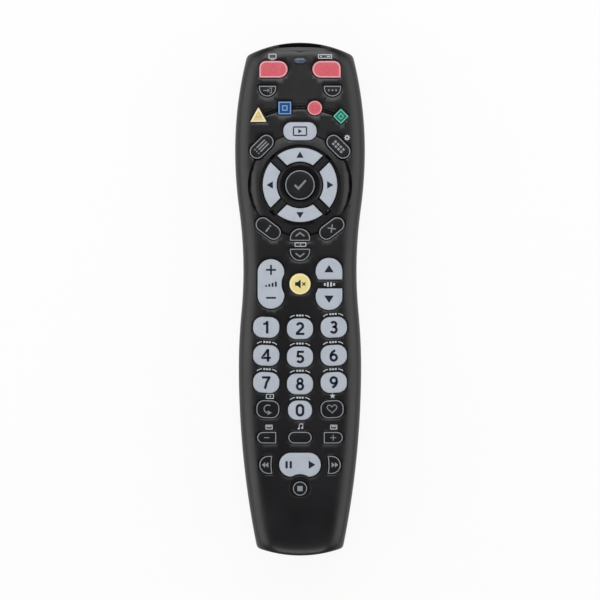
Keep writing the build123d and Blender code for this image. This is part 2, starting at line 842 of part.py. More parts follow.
with BuildPart() as bottom_case:
    add(outer_form)
    add(box_at((-length, -length, parting_height), (length, length, above)), mode=Mode.SUBTRACT)
    add(inner_form, mode=Mode.SUBTRACT)
    add(lip.part)
    add(compartment.part)
    for x, laid_out_y in board_posts:
        y = laid_out_y * along
        low = (x - post_half, y - post_wall / 2, wall / 2)
        add(box_at(low, (x + post_half, y + post_wall / 2, board_low)))
    for step in (-1, 0, 1):
        y = cell_middle_y + step * roof_rib_pitch
        low = (-roof_rib_half, y - post_wall / 2, roof_low)
        add(box_at(low, (roof_rib_half, y + post_wall / 2, board_low)))
    add(posts(screw_spots, boss_radius, seat, boss_split))
    add(door_space.part, mode=Mode.SUBTRACT)
    add(posts(screw_spots, screw_radius + screw_clearance, seat, boss_split), mode=Mode.SUBTRACT)
    for tab_x in (-cell_pitch / 2, cell_pitch / 2):
        slot_half = tab_half_width + tab_slot_gap
        low = (tab_x - slot_half, room_head - contact_sheet - 2 * tab_slot_gap, roof_low)
        high = (tab_x + slot_half, room_head + tab_slot_gap, above)
        add(box_at(low, high), mode=Mode.SUBTRACT)
    add(window_room(window_gap), mode=Mode.SUBTRACT)
finish(bottom_case.part, "bottom_case")

# Battery door: part of the back and of the tail's rim, on two hooked rails
with BuildPart() as rails:
    add(both_sides((rail_inner, tail_y, 0), (door_half, door_end - rail_set_back, rail_top)))
    add(both_sides((rail_inner, tail_y, hook_low), (hook_half, door_end - rail_set_back, rail_top)))
    add(outer_form, mode=Mode.INTERSECT)
with BuildPart() as wide_tail:
    add(outer_form)
    add(inner_form, mode=Mode.SUBTRACT)
    low = (-groove_half + door_gap, -length, 0)
    high = (groove_half - door_gap, tail_lap_y - door_gap, groove_top - door_gap)
    add(box_at(low, high), mode=Mode.INTERSECT)
with BuildPart() as battery_door:
    add(outer_form)
    add(inner_form, mode=Mode.SUBTRACT)
    high = (door_half, door_end, groove_top - door_gap)
    add(box_at((-door_half, -length, 0), high), mode=Mode.INTERSECT)
    add(wide_tail.part)
    add(rails.part)
    root = door_end - 2 * door_tongue_length
    add(box_at((-tongue_half, root, wall / 2), (tongue_half, door_end, tongue_top)))
    tip = room_head + door_tongue_length
    add(box_at((-tongue_half, root, tongue_low), (tongue_half, tip, tongue_top)))
    for rib in range(grip_rib_count):
        rib_y = grip_rib_first_y + rib * grip_rib_pitch
        low = (-grip_rib_length / 2, rib_y - grip_rib_width / 2, -wall)
        high = (grip_rib_length / 2, rib_y + grip_rib_width / 2, grip_rib_depth)
        add(box_at(low, high), mode=Mode.SUBTRACT)
finish(battery_door.part, "battery_door")

# Two cells side by side, nose to tail
cell_tail = cell_middle_y - cell_length / 2
cell_head = cell_middle_y + cell_length / 2
with BuildPart() as battery_cells:
    for side in (-1, 1):
        foot = cell_tail if side < 0 else cell_head
        with BuildSketch(Plane(origin=(side * cell_pitch / 2, foot, cell_z), z_dir=(0, -side, 0))):
            Circle(cell_diameter / 2)
        extrude(amount=cell_length - cell_nub_length)
        with BuildSketch(Plane(origin=(side * cell_pitch / 2, foot, cell_z), z_dir=(0, -side, 0))):
            Circle(cell_nub_diameter / 2)
        extrude(amount=cell_length)
finish(battery_cells.part, "battery_cells")

# Contacts: a bowed leaf for each flat end and a plate with a formed button for each nub
with BuildPart() as contact_springs:
    for side, wall_y in ((1, room_head), (-1, room_tail)):
        spot = (side * cell_pitch / 2, wall_y, cell_z)
        bow = contact_room - rest_clearance
        inside = leaf_half - contact_sheet
        with BuildSketch(Plane(origin=spot, x_dir=(0, -side, 0), z_dir=(side, 0, 0))):
            with BuildLine():
                ThreePointArc((0, leaf_half), (bow, 0), (0, -leaf_half))
                Line((0, -leaf_half), (0, -inside))
                ThreePointArc((0, -inside), (bow - contact_sheet, 0), (0, inside))
                Line((0, inside), (0, leaf_half))
            make_face()
        extrude(amount=leaf_width / 2, both=True)
    tab_x = cell_pitch / 2
    low = (tab_x - tab_half_width, room_head - contact_sheet, cell_z + leaf_half - contact_sheet)
    add(box_at(low, (tab_x + tab_half_width, room_head, board_low)))
finish(contact_springs.part, "contact_springs")
with BuildPart() as contact_plates:
    for side, wall_y, inwards in ((-1, room_head, -1), (1, room_tail, 1)):
        x = side * cell_pitch / 2
        near = wall_y + inwards * contact_sheet
        low = (x - leaf_width / 2, min(wall_y, near), cell_z - plate_reach)
        add(box_at(low, (x + leaf_width / 2, max(wall_y, near), cell_z + plate_reach)))
        with BuildSketch(Plane(origin=(x, near, cell_z), z_dir=(0, inwards, 0))):
            Circle(cell_nub_diameter / 2 - contact_sheet)
        extrude(amount=contact_room - contact_sheet - rest_clearance)
    tab_x = -cell_pitch / 2
    low = (tab_x - tab_half_width, room_head - contact_sheet, cell_z)
    add(box_at(low, (tab_x + tab_half_width, room_head, board_low)))
    low = (-cell_pitch / 2, room_tail, cell_z + leaf_half)
    add(box_at(low, (cell_pitch / 2 + leaf_width / 2, room_tail + contact_sheet, cell_z + plate_reach)))
finish(contact_plates.part, "contact_plates")

# Self-tapping screws whose heads the door hides
with BuildPart() as case_screws:
    add(posts(screw_spots, screw_head_radius, boss_low, seat))
    add(posts(screw_spots, screw_radius, boss_low, boss_low + screw_length))
finish(case_screws.part, "case_screws")

# Circuit board, located by the stakes and carried by the posts and the ribs on the roof
with BuildPart() as circuit_board:
    with BuildSketch(Plane.XY.offset(board_low)):
        flat_plan(board_margin, board_tail_y, board_head_y)
        with Locations((0, board_head_y)):
            Rectangle(board_tongue_width, 2 * (board_tongue_y - board_head_y))
        with Locations(*stake_spots):
            Circle(stake_radius + stake_gap, mode=Mode.SUBTRACT)
    extrude(amount=board_thickness)
finish(circuit_board.part, "circuit_board")

# Rubber sheet: a pad under every key, which gives way when the key goes down
with BuildPart() as keypad_sheet:
    with BuildSketch(Plane.XY.offset(sheet_low)):
        flat_plan(board_margin, board_tail_y, sheet_head_y)
        with Locations(*stake_spots):
            Circle(stake_radius + stake_gap, mode=Mode.SUBTRACT)
    extrude(amount=sheet_thickness)
    for key in keys:
        span = key.span()
        wide = max(span.size.X - 2 * pad_inset, pad_inset)
        tall = max(span.size.Y - 2 * pad_inset, pad_inset)
        with BuildSketch(key.plane(sheet_top)):
            with Locations((span.center().X, span.center().Y)):
                Rectangle(wide, tall)
        extrude(amount=pad_height)
finish(keypad_sheet.part, "keypad_sheet")

# Parts soldered to the board
with BuildPart() as control_chip:
    low = (-chip_side / 2, chip_y - chip_side / 2, board_low - chip_height)
    add(box_at(low, (chip_side / 2, chip_y + chip_side / 2, board_low)))
finish(control_chip.part, "control_chip")
with BuildPart() as resonator:
    low = (-resonator_x - resonator_width / 2, chip_y - resonator_depth / 2, board_low - resonator_height)
    add(box_at(low, (-resonator_x + resonator_width / 2, chip_y + resonator_depth / 2, board_low)))
    fillet(resonator.edges().filter_by(Axis.Z), resonator_depth / 2 - rest_clearance)
finish(resonator.part, "resonator")
with BuildPart() as capacitor:
    add(posts([(capacitor_x, capacitor_y)], capacitor_radius, board_low - capacitor_height, board_low))
finish(capacitor.part, "capacitor")
with BuildPart() as status_led:
    low = (-light_chip_width / 2, light_y - light_chip_depth / 2, sheet_low)
    high = (light_chip_width / 2, light_y + light_chip_depth / 2, sheet_low + light_chip_height)
    add(box_at(low, high))
finish(status_led.part, "status_led")

# Two infrared emitters, soldered flat under the board's head edge
emitter_z = board_low - lead_size / 2
with BuildPart() as ir_emitters:
    for x in (-emitter_x, emitter_x):
        with BuildSketch(Plane(origin=(x, emitter_y, emitter_z), z_dir=(0, 1, 0))):
            Circle(emitter_radius)
        extrude(amount=emitter_length)
        for lead_x in (x - lead_pitch / 2, x + lead_pitch / 2):
            low = (lead_x - lead_size / 2, emitter_y - lead_length, board_low - lead_size)
            add(box_at(low, (lead_x + lead_size / 2, emitter_y + lead_size, board_low)))
    domes = ir_emitters.faces().sort_by(Axis.Y)[-2:]
    chamfer(domes.edges(), emitter_radius / 2)
finish(ir_emitters.part, "ir_emitters")
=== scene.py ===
"""A hand-held infrared remote control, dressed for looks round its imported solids.

Lengths are in millimetres until a mesh is written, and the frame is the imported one: origin in
the middle of the flat back, X across, Y towards the infrared window, Z up through the keys.
"""
import logging
import math
from dataclasses import dataclass, field
from enum import Enum
from typing import Callable

import bpy
import numpy as np
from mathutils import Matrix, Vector
from mathutils.geometry import delaunay_2d_cdt


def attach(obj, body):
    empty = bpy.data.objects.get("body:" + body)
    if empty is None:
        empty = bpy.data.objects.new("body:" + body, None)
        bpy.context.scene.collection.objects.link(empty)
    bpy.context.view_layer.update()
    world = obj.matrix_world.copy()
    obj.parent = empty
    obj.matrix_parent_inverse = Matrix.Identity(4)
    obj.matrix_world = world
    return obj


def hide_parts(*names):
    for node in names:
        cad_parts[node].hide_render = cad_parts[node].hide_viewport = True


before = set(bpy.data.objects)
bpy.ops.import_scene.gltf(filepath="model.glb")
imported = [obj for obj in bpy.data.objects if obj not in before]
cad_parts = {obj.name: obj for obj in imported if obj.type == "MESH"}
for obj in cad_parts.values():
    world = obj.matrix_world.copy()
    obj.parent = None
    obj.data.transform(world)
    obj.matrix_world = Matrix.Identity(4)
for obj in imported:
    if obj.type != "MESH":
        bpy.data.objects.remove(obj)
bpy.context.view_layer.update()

LOG = logging.getLogger("remote")
MM = 0.001

# A Flat is plan points with triangles, and a Mesh is points in space with triangles. A Shape is
# one loop, or several loops that are filled where an odd number of them overlap. A Spot is a
# place on the plan, and a Pair or a Triple holds measures that belong together. A Height gives
# the height of a surface at points of the plan.
Flat = tuple[np.ndarray, np.ndarray]
Mesh = tuple[np.ndarray, np.ndarray]
Shape = np.ndarray | list[np.ndarray]
Spot = tuple[float, float]
Pair = tuple[float, float]
Triple = tuple[float, float, float]
Height = Callable[[np.ndarray], np.ndarray]
Tree = bpy.types.NodeTree
Socket = bpy.types.NodeSocket

NO_POINTS = np.empty((0, 2))
SAME_POINT = 1e-5  # mm between points that count as one
SLIVER = 1e-9  # mm2, twice the area of a triangle too thin to keep
SHARP = 1e-3  # mm, radius of a corner that looks sharp, and room for a point to be on a line
TINY = 1e-12  # keeps a division from meeting zero

# Heights and places along Y that the keys and the front share
FRONT_Z = 27.6
PAD_Y = 49.4
STOP_Y = -82.0


# Plane curves. Every loop is an array of points that runs anticlockwise.

def arc(x: float, y: float, radius: float, start: float, stop: float, count: int = 24) -> np.ndarray:
    """Points along a circular arc, from the angle start to the angle stop.

    Args:
        x, y: centre; radius: its radius; start, stop: angles in degrees; count: how many points.
    Returns:
        An array of count points.
    """
    angle = np.radians(np.linspace(start, stop, count))
    return np.stack([x + radius * np.cos(angle), y + radius * np.sin(angle)], axis=1)


def closed(loop: np.ndarray) -> np.ndarray:
    """The loop with its first point once more at its end."""
    return np.vstack([loop, loop[:1]])


def evenly(loop: np.ndarray, spacing: float, softness: float = 0.0) -> np.ndarray:
    """A closed loop resampled at even steps of its length, with its corners eased.

    The points are read at equal steps of the running length. Easing multiplies each harmonic
    f of the closed curve by exp(-(2 pi f s)^2 / 2), which is a Gaussian blur of width s along
    the length, so it rounds corners and leaves gentle curves where they are.

    Args:
        loop: corner points; spacing: step along the length; softness: width s of the blur.
    Returns:
        The resampled loop.
    """
    ring = closed(loop)
    run = np.concatenate([[0.0], np.cumsum(np.hypot(*np.diff(ring, axis=0).T))])
    count = max(12, int(round(run[-1] / spacing)))
    place = np.arange(count) * run[-1] / count
    point = np.interp(place, run, ring[:, 0]) + 1j * np.interp(place, run, ring[:, 1])
    if softness > 0:
        pitch = np.fft.fftfreq(count, run[-1] / count)
        point = np.fft.ifft(np.fft.fft(point) * np.exp(-((2 * np.pi * pitch * softness) ** 2) / 2))
    return np.stack([point.real, point.imag], axis=1)


def grown(loop: np.ndarray, distance: float) -> np.ndarray:
    """The loop moved outwards along its normals, which are its tangents turned by a quarter.

    Args:
        loop: the closed curve; distance: how far each point moves, inwards where negative.
    Returns:
        The moved loop, with as many points.
    """
    tangent = np.roll(loop, -1, axis=0) - np.roll(loop, 1, axis=0)
    normal = np.stack([tangent[:, 1], -tangent[:, 0]], axis=1)
    return loop + distance * normal / np.maximum(np.hypot(*normal.T), TINY)[:, None]


def placed(points: np.ndarray, spot: Spot, turn: float = 0.0) -> np.ndarray:
    """Points turned by an angle in degrees and then moved to a spot."""
    c, s = math.cos(math.radians(turn)), math.sin(math.radians(turn))
    return points @ np.array([[c, s], [-s, c]]) + np.asarray(spot)


def beside(spot: Spot, side: int) -> Spot:
    """A spot on one side of the middle line: as it is for side 1, or across from it for -1."""
    return side * spot[0], spot[1]


def to_side(loop: np.ndarray, side: int) -> np.ndarray:
    """The loop as it is for side 1, or its mirror image across X for side -1."""
    return loop if side > 0 else (loop * (-1, 1))[::-1]


def within(points: np.ndarray, loop: np.ndarray) -> np.ndarray:
    """Which points lie inside a loop: a ray to the right crosses its sides an odd number of times.

    Args:
        points: points to test; loop: the closed curve.
    Returns:
        One truth value for each point.
    """
    low, high = loop.min(axis=0), loop.max(axis=0)
    near = np.all((points >= low) & (points <= high), axis=1)
    x, y = points[near, 0, None], points[near, 1, None]
    far = np.roll(loop, -1, axis=0)
    spans = (loop[:, 1] > y) != (far[:, 1] > y)
    rise = np.where(far[:, 1] == loop[:, 1], TINY, far[:, 1] - loop[:, 1])
    crossing = loop[:, 0] + (y - loop[:, 1]) * (far[:, 0] - loop[:, 0]) / rise
    found = np.zeros(len(points), bool)
    found[near] = (spans & (x < crossing)).sum(axis=1) % 2 == 1
    return found


def from_edge(points: np.ndarray, loop: np.ndarray) -> np.ndarray:
    """The distance of each point from the nearest side of a loop.

    Each point is dropped at right angles onto every side, held between the side's ends, and
    the shortest of those distances counts.

    Args:
        points: points to measure; loop: the closed curve.
    Returns:
        One distance for each point.
    """
    side = np.roll(loop, -1, axis=0) - loop
    reach = points[:, None, :] - loop[None, :, :]
    share = np.clip((reach * side).sum(axis=2) / np.maximum((side**2).sum(axis=1), TINY), 0, 1)
    return np.hypot(*np.moveaxis(reach - share[..., None] * side, 2, 0)).min(axis=1)


def lattice(low: Spot, high: Spot, step: float) -> np.ndarray:
    """Points of a square grid, from one corner up to the other without reaching it."""
    sides = [np.arange(start, stop, step) for start, stop in zip(low, high)]
    return np.stack(np.meshgrid(*sides), -1).reshape(-1, 2)


def smooth(value: np.ndarray, low: float, high: float) -> np.ndarray:
    """Zero below low, one above high and the cubic 3 s^2 - 2 s^3 of the share s between them."""
    share = np.clip((value - low) / (high - low), 0, 1)
    return share * share * (3 - 2 * share)


def quarter_round(depth: np.ndarray, width: float, fall: float) -> np.ndarray:
    """How far an edge has dropped at a distance in from it: a quarter of an ellipse."""
    inward = 1 - np.clip(depth / width, 0, 1)
    return fall * (1 - np.sqrt(np.maximum(1 - inward**2, 0)))


# Meshes

def triangles(loops: list[np.ndarray], rows: list[np.ndarray], free: np.ndarray,
              keep: Callable[[np.ndarray], np.ndarray]) -> Flat:
    """Triangles of a flat region, with sides along every loop and row.

    Args:
        loops: closed curves; rows: open ones; free: loose points; keep: says for the middles
            of the triangles which belong to the region.
    Returns:
        Points and triangles that face up.
    """
    runs = loops + rows
    points = np.vstack(runs + [free])
    starts = np.cumsum([0] + [len(run) for run in runs])[:-1]
    sides = [np.stack([np.arange(len(r)), (np.arange(len(r)) + 1) % len(r)], axis=1) + s
             for r, s in zip(runs, starts)]
    sides = [side if i < len(loops) else side[:-1] for i, side in enumerate(sides)]
    corners = [Vector(p) for p in points]
    found = delaunay_2d_cdt(corners, np.vstack(sides).tolist(), [], 0, SAME_POINT)
    xy = np.array([tuple(v) for v in found[0]])
    tris = np.array(found[2], int)
    a, b, c = xy[tris[:, 0]], xy[tris[:, 1]], xy[tris[:, 2]]
    area = (b[:, 0] - a[:, 0]) * (c[:, 1] - a[:, 1]) - (b[:, 1] - a[:, 1]) * (c[:, 0] - a[:, 0])
    tris[area < 0] = tris[area < 0][:, ::-1]
    tris = tris[(np.abs(area) > SLIVER) & keep((a + b + c) / 3)]
    used, tris = np.unique(tris, return_inverse=True)
    return xy[used], tris.reshape(-1, 3)


def filled(loops: list[np.ndarray], free: np.ndarray = NO_POINTS) -> Flat:
    """Flat triangles inside an odd number of the loops, so a loop within a loop is a hole."""
    return triangles(loops, [], free,
                     lambda p: np.sum([within(p, loop) for loop in loops], axis=0) % 2 == 1)


def painted(shapes: list[Shape]) -> Flat:
    """Flat triangles of several shapes that may overlap, each filled for itself."""
    return stacked([filled([shape] if isinstance(shape, np.ndarray) else shape)
                    for shape in shapes])


def rim(tris: np.ndarray) -> np.ndarray:
    """The sides that only one triangle has, each running as that triangle does.

    A side is numbered by its two points, and a shared one runs the other way in its neighbour.

    Args:
        tris: the triangles of a sheet.
    Returns:
        The two points of each side.
    """
    sides = np.vstack([tris[:, [0, 1]], tris[:, [1, 2]], tris[:, [2, 0]]])
    span = tris.max() + 1
    return sides[~np.isin(sides[:, 0] * span + sides[:, 1], sides[:, 1] * span + sides[:, 0])]


def sealed(top: np.ndarray, low: np.ndarray, tris: np.ndarray) -> Mesh:
    """A closed solid between two sheets with the same triangles, walled round every rim.

    Args:
        top: points of the outer sheet; low: points of the inner one; tris: their triangles.
    Returns:
        Points and triangles of the solid.
    """
    count = len(top)
    a, b = rim(tris).T
    walls = np.vstack([np.stack([a, a + count, b + count], 1), np.stack([a, b + count, b], 1)])
    return np.vstack([top, low]), np.vstack([tris, tris[:, ::-1] + count, walls])


def raised(flat: Flat, height: np.ndarray, foot: float) -> Mesh:
    """A closed solid with a level foot and a face of given heights.

    Args:
        flat: its plan; height: of the face at each point; foot: height of the foot.
    Returns:
        Points and triangles of the solid.
    """
    xy, tris = flat
    level = np.full(len(xy), foot)
    return sealed(np.column_stack([xy, height]), np.column_stack([xy, level]), tris)


def stacked(parts: list[Mesh]) -> Mesh:
    """Several meshes as one, with the numbers of the later points moved on."""
    starts = np.cumsum([0] + [len(points) for points, _ in parts])
    return (np.vstack([points for points, _ in parts]),
            np.vstack([tris + start for (_, tris), start in zip(parts, starts)]))


def draped(flat: Flat, top: Height, lift: float, depth: float) -> Mesh:
    """A thin closed film that follows a surface.

    Args:
        flat: its plan; top: height of the surface; lift: how far the film's face stands over
            it; depth: how far the film reaches below its face.
    Returns:
        Points and triangles of the film.
    """
    xy, tris = flat
    face = np.column_stack([xy, top(xy) + lift])
    return sealed(face, face - (0, 0, depth), tris)


def put(name: str, data: bpy.types.ID) -> bpy.types.Object:
    """A new object with its data, linked into the scene.

    Args:
        name: name of the object; data: its mesh, lamp or camera.
    Returns:
        The object.
    """
    thing = bpy.data.objects.new(name, data)
    bpy.context.scene.collection.objects.link(thing)
    return thing


def new_piece(name: str, mesh: Mesh, body: str, finish: "Finish",
              crease: float) -> bpy.types.Object:
    """Writes a mesh, gives it its finish and sets it riding on a body.

    Args:
        name: name of the piece; mesh: points in mm and triangles; body: what carries it;
        finish: its material; crease: sharpest smooth fold in degrees.
    Returns:
        The new object.
    """
    points, tris = mesh
    data = bpy.data.meshes.new(name)
    data.from_pydata((points * MM).tolist(), [], tris.tolist())
    data.validate()
    data.shade_smooth()
    data.set_sharp_from_angle(angle=math.radians(crease))
    data.materials.append(finish.material())
    piece = put(name, data)
    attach(piece, body)
    LOG.info("%s: %d triangles on %s", name, len(tris), body)
    return piece


# Finishes

def linear(code: str) -> tuple[float, float, float, float]:
    """An sRGB colour as a linear one: the value over 12.92, or ((v + 0.055) / 1.055) ^ 2.4.

    Args:
        code: the colour as a hex value of six figures.
    Returns:
        Red, green and blue, and full alpha.
    """
    value = np.array([int(code[i:i + 2], 16) for i in (1, 3, 5)]) / 255
    value = np.where(value <= 0.04045, value / 12.92, ((value + 0.055) / 1.055) ** 2.4)
    return (*value.tolist(), 1.0)


def add_node(tree: Tree, kind: str, inputs: dict | None = None, **settings: object) -> bpy.types.Node:
    """Adds a node with its settings, and fills or links its inputs.

    Args:
        tree: the node tree; kind: the node's type; inputs: values or sockets by input name;
        settings: attributes of the node.
    Returns:
        The new node.
    """
    node = tree.nodes.new(kind)
    for key, value in settings.items():
        setattr(node, key, value)
    for key, value in (inputs or {}).items():
        if isinstance(value, Socket):
            tree.links.new(value, node.inputs[key])
        else:
            node.inputs[key].default_value = value
    return node


def bare_tree(owner: bpy.types.Material | bpy.types.World) -> Tree:
    """Switches a node tree on and empties it.

    Args:
        owner: the material or world.
    Returns:
        Its node tree.
    """
    owner.use_nodes = True
    owner.node_tree.nodes.clear()
    return owner.node_tree


@dataclass(frozen=True)
class Finish:
    """A surface with a mottled colour, uneven gloss and a fine relief.

    Two noise patterns on Object coordinates make it. The broad one, patch_mm wide, mixes the
    two colours and shifts the roughness by uneven to either side, as handling does. The fine
    one, grain_mm wide, is the mould's texture: it adds its share speckle to the mix and raises
    a bump of relief_mm. Most of a noise pattern lies within noise_span, and the colours blend
    over mix_span. The specular level, 0.5 for plain, scales the reflection that the IOR gives.
    It is 0.43 or so where a typical IOR is to reflect as much as one of 1.5 does.
    """

    name: str
    colour: str
    shade: str
    roughness: float = 0.4
    uneven: float = 0.05
    patch_mm: float = 4.0
    grain_mm: float = 0.6
    relief_mm: float = 0.01
    speckle: float = 0.15
    specular: float = 0.5
    metallic: float = 0.0
    transmission: float = 0.0
    ior: float = 1.5
    noise_span: Pair = (0.25, 0.75)
    mix_span: Pair = (0.3, 0.75)
    broad_detail: float = 3.0
    fine_detail: float = 2.0
    bump_strength: float = 0.35
    least_roughness: float = 0.02

    def material(self) -> bpy.types.Material:
        """The material of this finish, made once and shared.

        Returns:
            The material with this finish's name.
        """
        made = bpy.data.materials.get(self.name)
        if made:
            return made
        material = bpy.data.materials.new(self.name)
        tree = bare_tree(material)
        spot = add_node(tree, "ShaderNodeTexCoord").outputs["Object"]
        noises = ((self.patch_mm, self.broad_detail), (self.grain_mm, self.fine_detail))
        broad, fine = (add_node(tree, "ShaderNodeTexNoise", {
            "Vector": spot, "Scale": 1 / (size * MM), "Detail": detail}).outputs["Fac"]
            for size, detail in noises)
        gloss = add_node(tree, "ShaderNodeMapRange", {
            "Value": broad, "From Min": self.noise_span[0], "From Max": self.noise_span[1],
            "To Min": max(self.roughness - self.uneven, self.least_roughness),
            "To Max": self.roughness + self.uneven})
        bump = add_node(tree, "ShaderNodeBump", {
            "Height": fine, "Strength": self.bump_strength, "Distance": self.relief_mm * MM})
        inputs = {
            "Base Color": self.paint(tree, spot, broad, fine), "Roughness": gloss.outputs["Result"],
            "Normal": bump.outputs["Normal"], "Metallic": self.metallic,
            "Specular IOR Level": self.specular, "Transmission Weight": self.transmission}
        if not self.metallic:
            inputs["IOR"] = self.ior
        shader = add_node(tree, "ShaderNodeBsdfPrincipled", inputs)
        add_node(tree, "ShaderNodeOutputMaterial", {"Surface": shader.outputs["BSDF"]})
        return material

    def paint(self, tree: Tree, spot: Socket, broad: Socket, fine: Socket) -> Socket:
        """Mixes the two colours by the broad pattern plus a share of the fine one.

        Args:
            tree: the node tree; spot: Object coordinates; broad, fine: the noise patterns.
        Returns:
            The colour's socket.
        """
        share = add_node(tree, "ShaderNodeMath", {0: fine, 1: self.speckle, 2: broad},
                         operation="MULTIPLY_ADD")
        ramp = add_node(tree, "ShaderNodeValToRGB", {"Fac": share.outputs[0]})
        low, high = ramp.color_ramp.elements
        low.position, high.position = self.mix_span
        low.color, high.color = linear(self.colour), linear(self.shade)
        return ramp.outputs["Color"]


@dataclass(frozen=True)
class Lacquer(Finish):
    """A pigmented key cap under a matt lacquer: one even colour and a soft, wide highlight."""

    roughness: float = 0.45
    grain_mm: float = 0.7
    relief_mm: float = 0.006
    speckle: float = 0.2
    specular: float = 0.35


@dataclass(frozen=True)
class Ink(Finish):
    """A pad-printed ink: a thin matt film whose cover is slightly uneven."""

    roughness: float = 0.5
    patch_mm: float = 1.5
    grain_mm: float = 0.4
    relief_mm: float = 0.003
    speckle: float = 0.4
    specular: float = 0.3


@dataclass(frozen=True)
class Banded(Finish):
    """A finish with a second colour in bands across Y, which change at the stops, in mm."""

    band: str = "#000000"
    stops: tuple[float, ...] = ()
    span: Pair = (0.0, 1.0)

    def paint(self, tree: Tree, spot: Socket, broad: Socket, fine: Socket) -> Socket:
        """Steps between the two colours at each stop along Y, and mottles them with the shade.

        Args:
            tree: the node tree; spot: Object coordinates; broad: the broad noise pattern;
            fine: the fine one, which isn't used here.
        Returns:
            The colour's socket.
        """
        split = add_node(tree, "ShaderNodeSeparateXYZ", {"Vector": spot})
        low, high = self.span
        place = add_node(tree, "ShaderNodeMapRange", {
            "Value": split.outputs["Y"], "From Min": low * MM, "From Max": high * MM})
        ramp = add_node(tree, "ShaderNodeValToRGB", {"Fac": place.outputs["Result"]})
        ramp.color_ramp.interpolation = "CONSTANT"
        steps = ramp.color_ramp.elements
        steps[0].position, steps[0].color = 0.0, linear(self.colour)
        steps.remove(steps[1])
        for number, stop in enumerate(self.stops):
            step = steps.new((stop - low) / (high - low))
            step.color = linear(self.band if number % 2 == 0 else self.colour)
        dust = add_node(tree, "ShaderNodeMix", {
            "Factor": broad, 6: ramp.outputs["Color"], 7: linear(self.shade)},
            data_type="RGBA", blend_type="SOFT_LIGHT")
        return dust.outputs[2]


@dataclass(frozen=True)
class Tracked(Finish):
    """A circuit board: paler copper tracks show through its solder mask in a brick pattern."""

    track: str = "#3f8a55"
    pitch_mm: float = 2.6
    track_share: float = 0.08
    run: float = 3.0
    row: float = 0.5

    def paint(self, tree: Tree, spot: Socket, broad: Socket, fine: Socket) -> Socket:
        """Lays the tracks along the joints of a wide brick pattern.

        Args:
            tree: the node tree; spot: Object coordinates; broad, fine: the noise patterns,
            which aren't used here.
        Returns:
            The colour's socket.
        """
        bricks = add_node(tree, "ShaderNodeTexBrick", {
            "Vector": spot, "Color1": linear(self.colour), "Color2": linear(self.shade),
            "Mortar": linear(self.track), "Scale": 1 / (self.pitch_mm * MM),
            "Mortar Size": self.track_share, "Brick Width": self.run, "Row Height": self.row})
        return bricks.outputs["Color"]


# ABS, injection moulded in a finely etched tool: a dark satin face with a soft sheen on its
# slopes. The etch is about 0.1 mm wide, drawn at 0.7 mm so that it shows at all.
CASE = Finish("moulded_abs_satin_black", "#0e0d10", "#141316", roughness=0.35, patch_mm=22.0,
              grain_mm=0.7, relief_mm=0.02, speckle=0.2, specular=0.442, ior=1.54)
# The same ABS from a slightly duller tool: the lower half's sheen is wider and weaker
CASE_BACK = Finish("moulded_abs_etched_black", "#0e0d10", "#141316", roughness=0.45, uneven=0.06,
                   patch_mm=18.0, grain_mm=0.8, relief_mm=0.03, speckle=0.25, specular=0.442,
                   ior=1.54)
# Moulded key caps without lacquer: blacker than the case round them and finer in grain
BLACK_KEY = Finish("moulded_key_cap_black", "#09090c", "#0e0e12", uneven=0.04, patch_mm=6.0,
                   grain_mm=0.5, relief_mm=0.006, speckle=0.1, specular=0.4)
# Lacquered caps. The grey ones are a little rougher and grainier, and the two deep colours
# reflect less, which keeps them dark.
GREY_KEY = Lacquer("lacquered_key_cap_grey", "#aab1bc", "#b3bac4", roughness=0.5, grain_mm=0.8,
                   relief_mm=0.008, speckle=0.3)
RED_KEY = Lacquer("lacquered_key_cap_red", "#c85561", "#cf606c")
YELLOW_KEY = Lacquer("lacquered_key_cap_yellow", "#e3d384", "#e8da94")
SAND_KEY = Lacquer("lacquered_key_cap_sand", "#d2bd8c", "#dac79b")
BLUE_KEY = Lacquer("lacquered_key_cap_blue", "#103f7b", "#144785", specular=0.2)
GREEN_KEY = Lacquer("lacquered_key_cap_green", "#0a655a", "#0f6f61", specular=0.2)
# Printed inks. The three pale ones cover the black plastic unevenly, so they look speckled.
LIGHT_INK = Ink("pad_printed_ink_pale", "#b4b9be", "#c3c7cb", roughness=0.6, speckle=0.5)
DIM_INK = Ink("pad_printed_ink_silver", "#7f8489", "#8c9196", speckle=0.5, specular=0.4)
FAINT_INK = Ink("pad_printed_ink_grey", "#71767b", "#7e8388", roughness=0.55, speckle=0.5)
NAVY_INK = Ink("pad_printed_ink_navy", "#0d1424", "#131a2b")
ROSE_INK = Ink("pad_printed_ink_rose", "#d8959e", "#dea0a8")
WINE_INK = Ink("pad_printed_ink_wine", "#c04b5b", "#c65564")
SKY_INK = Ink("pad_printed_ink_sky", "#7397bd", "#7fa1c4")
MINT_INK = Ink("pad_printed_ink_mint", "#63b09c", "#6fb9a6")
OCHRE_INK = Ink("pad_printed_ink_ochre", "#c7a94f", "#cdb15c")
CREAM_INK = Ink("pad_printed_ink_cream", "#f3e7c0", "#f5ebca")
# Polycarbonate dyed for infrared and polished: black to the eye, with a crisp narrow highlight
WINDOW = Finish("polished_smoked_polycarbonate", "#040406", "#060608", roughness=0.12,
                uneven=0.02, patch_mm=12.0, grain_mm=2.0, relief_mm=0.002, speckle=0.05,
                specular=0.312, ior=1.585)
# Frosted acrylic, unlit: a milky blue-grey that spreads the light
LIGHT = Finish("frosted_acrylic_light_pipe", "#404a5c", "#4f596b", roughness=0.28, patch_mm=1.5,
               grain_mm=0.5, relief_mm=0.005, speckle=0.3, specular=0.516, ior=1.49)
# Moulded silicone rubber: a dull, faintly mottled grey
SILICONE = Finish("moulded_silicone_rubber", "#5b5d60", "#66686b", roughness=0.55, uneven=0.06,
                  patch_mm=5.0, speckle=0.3, specular=0.553, ior=1.41)
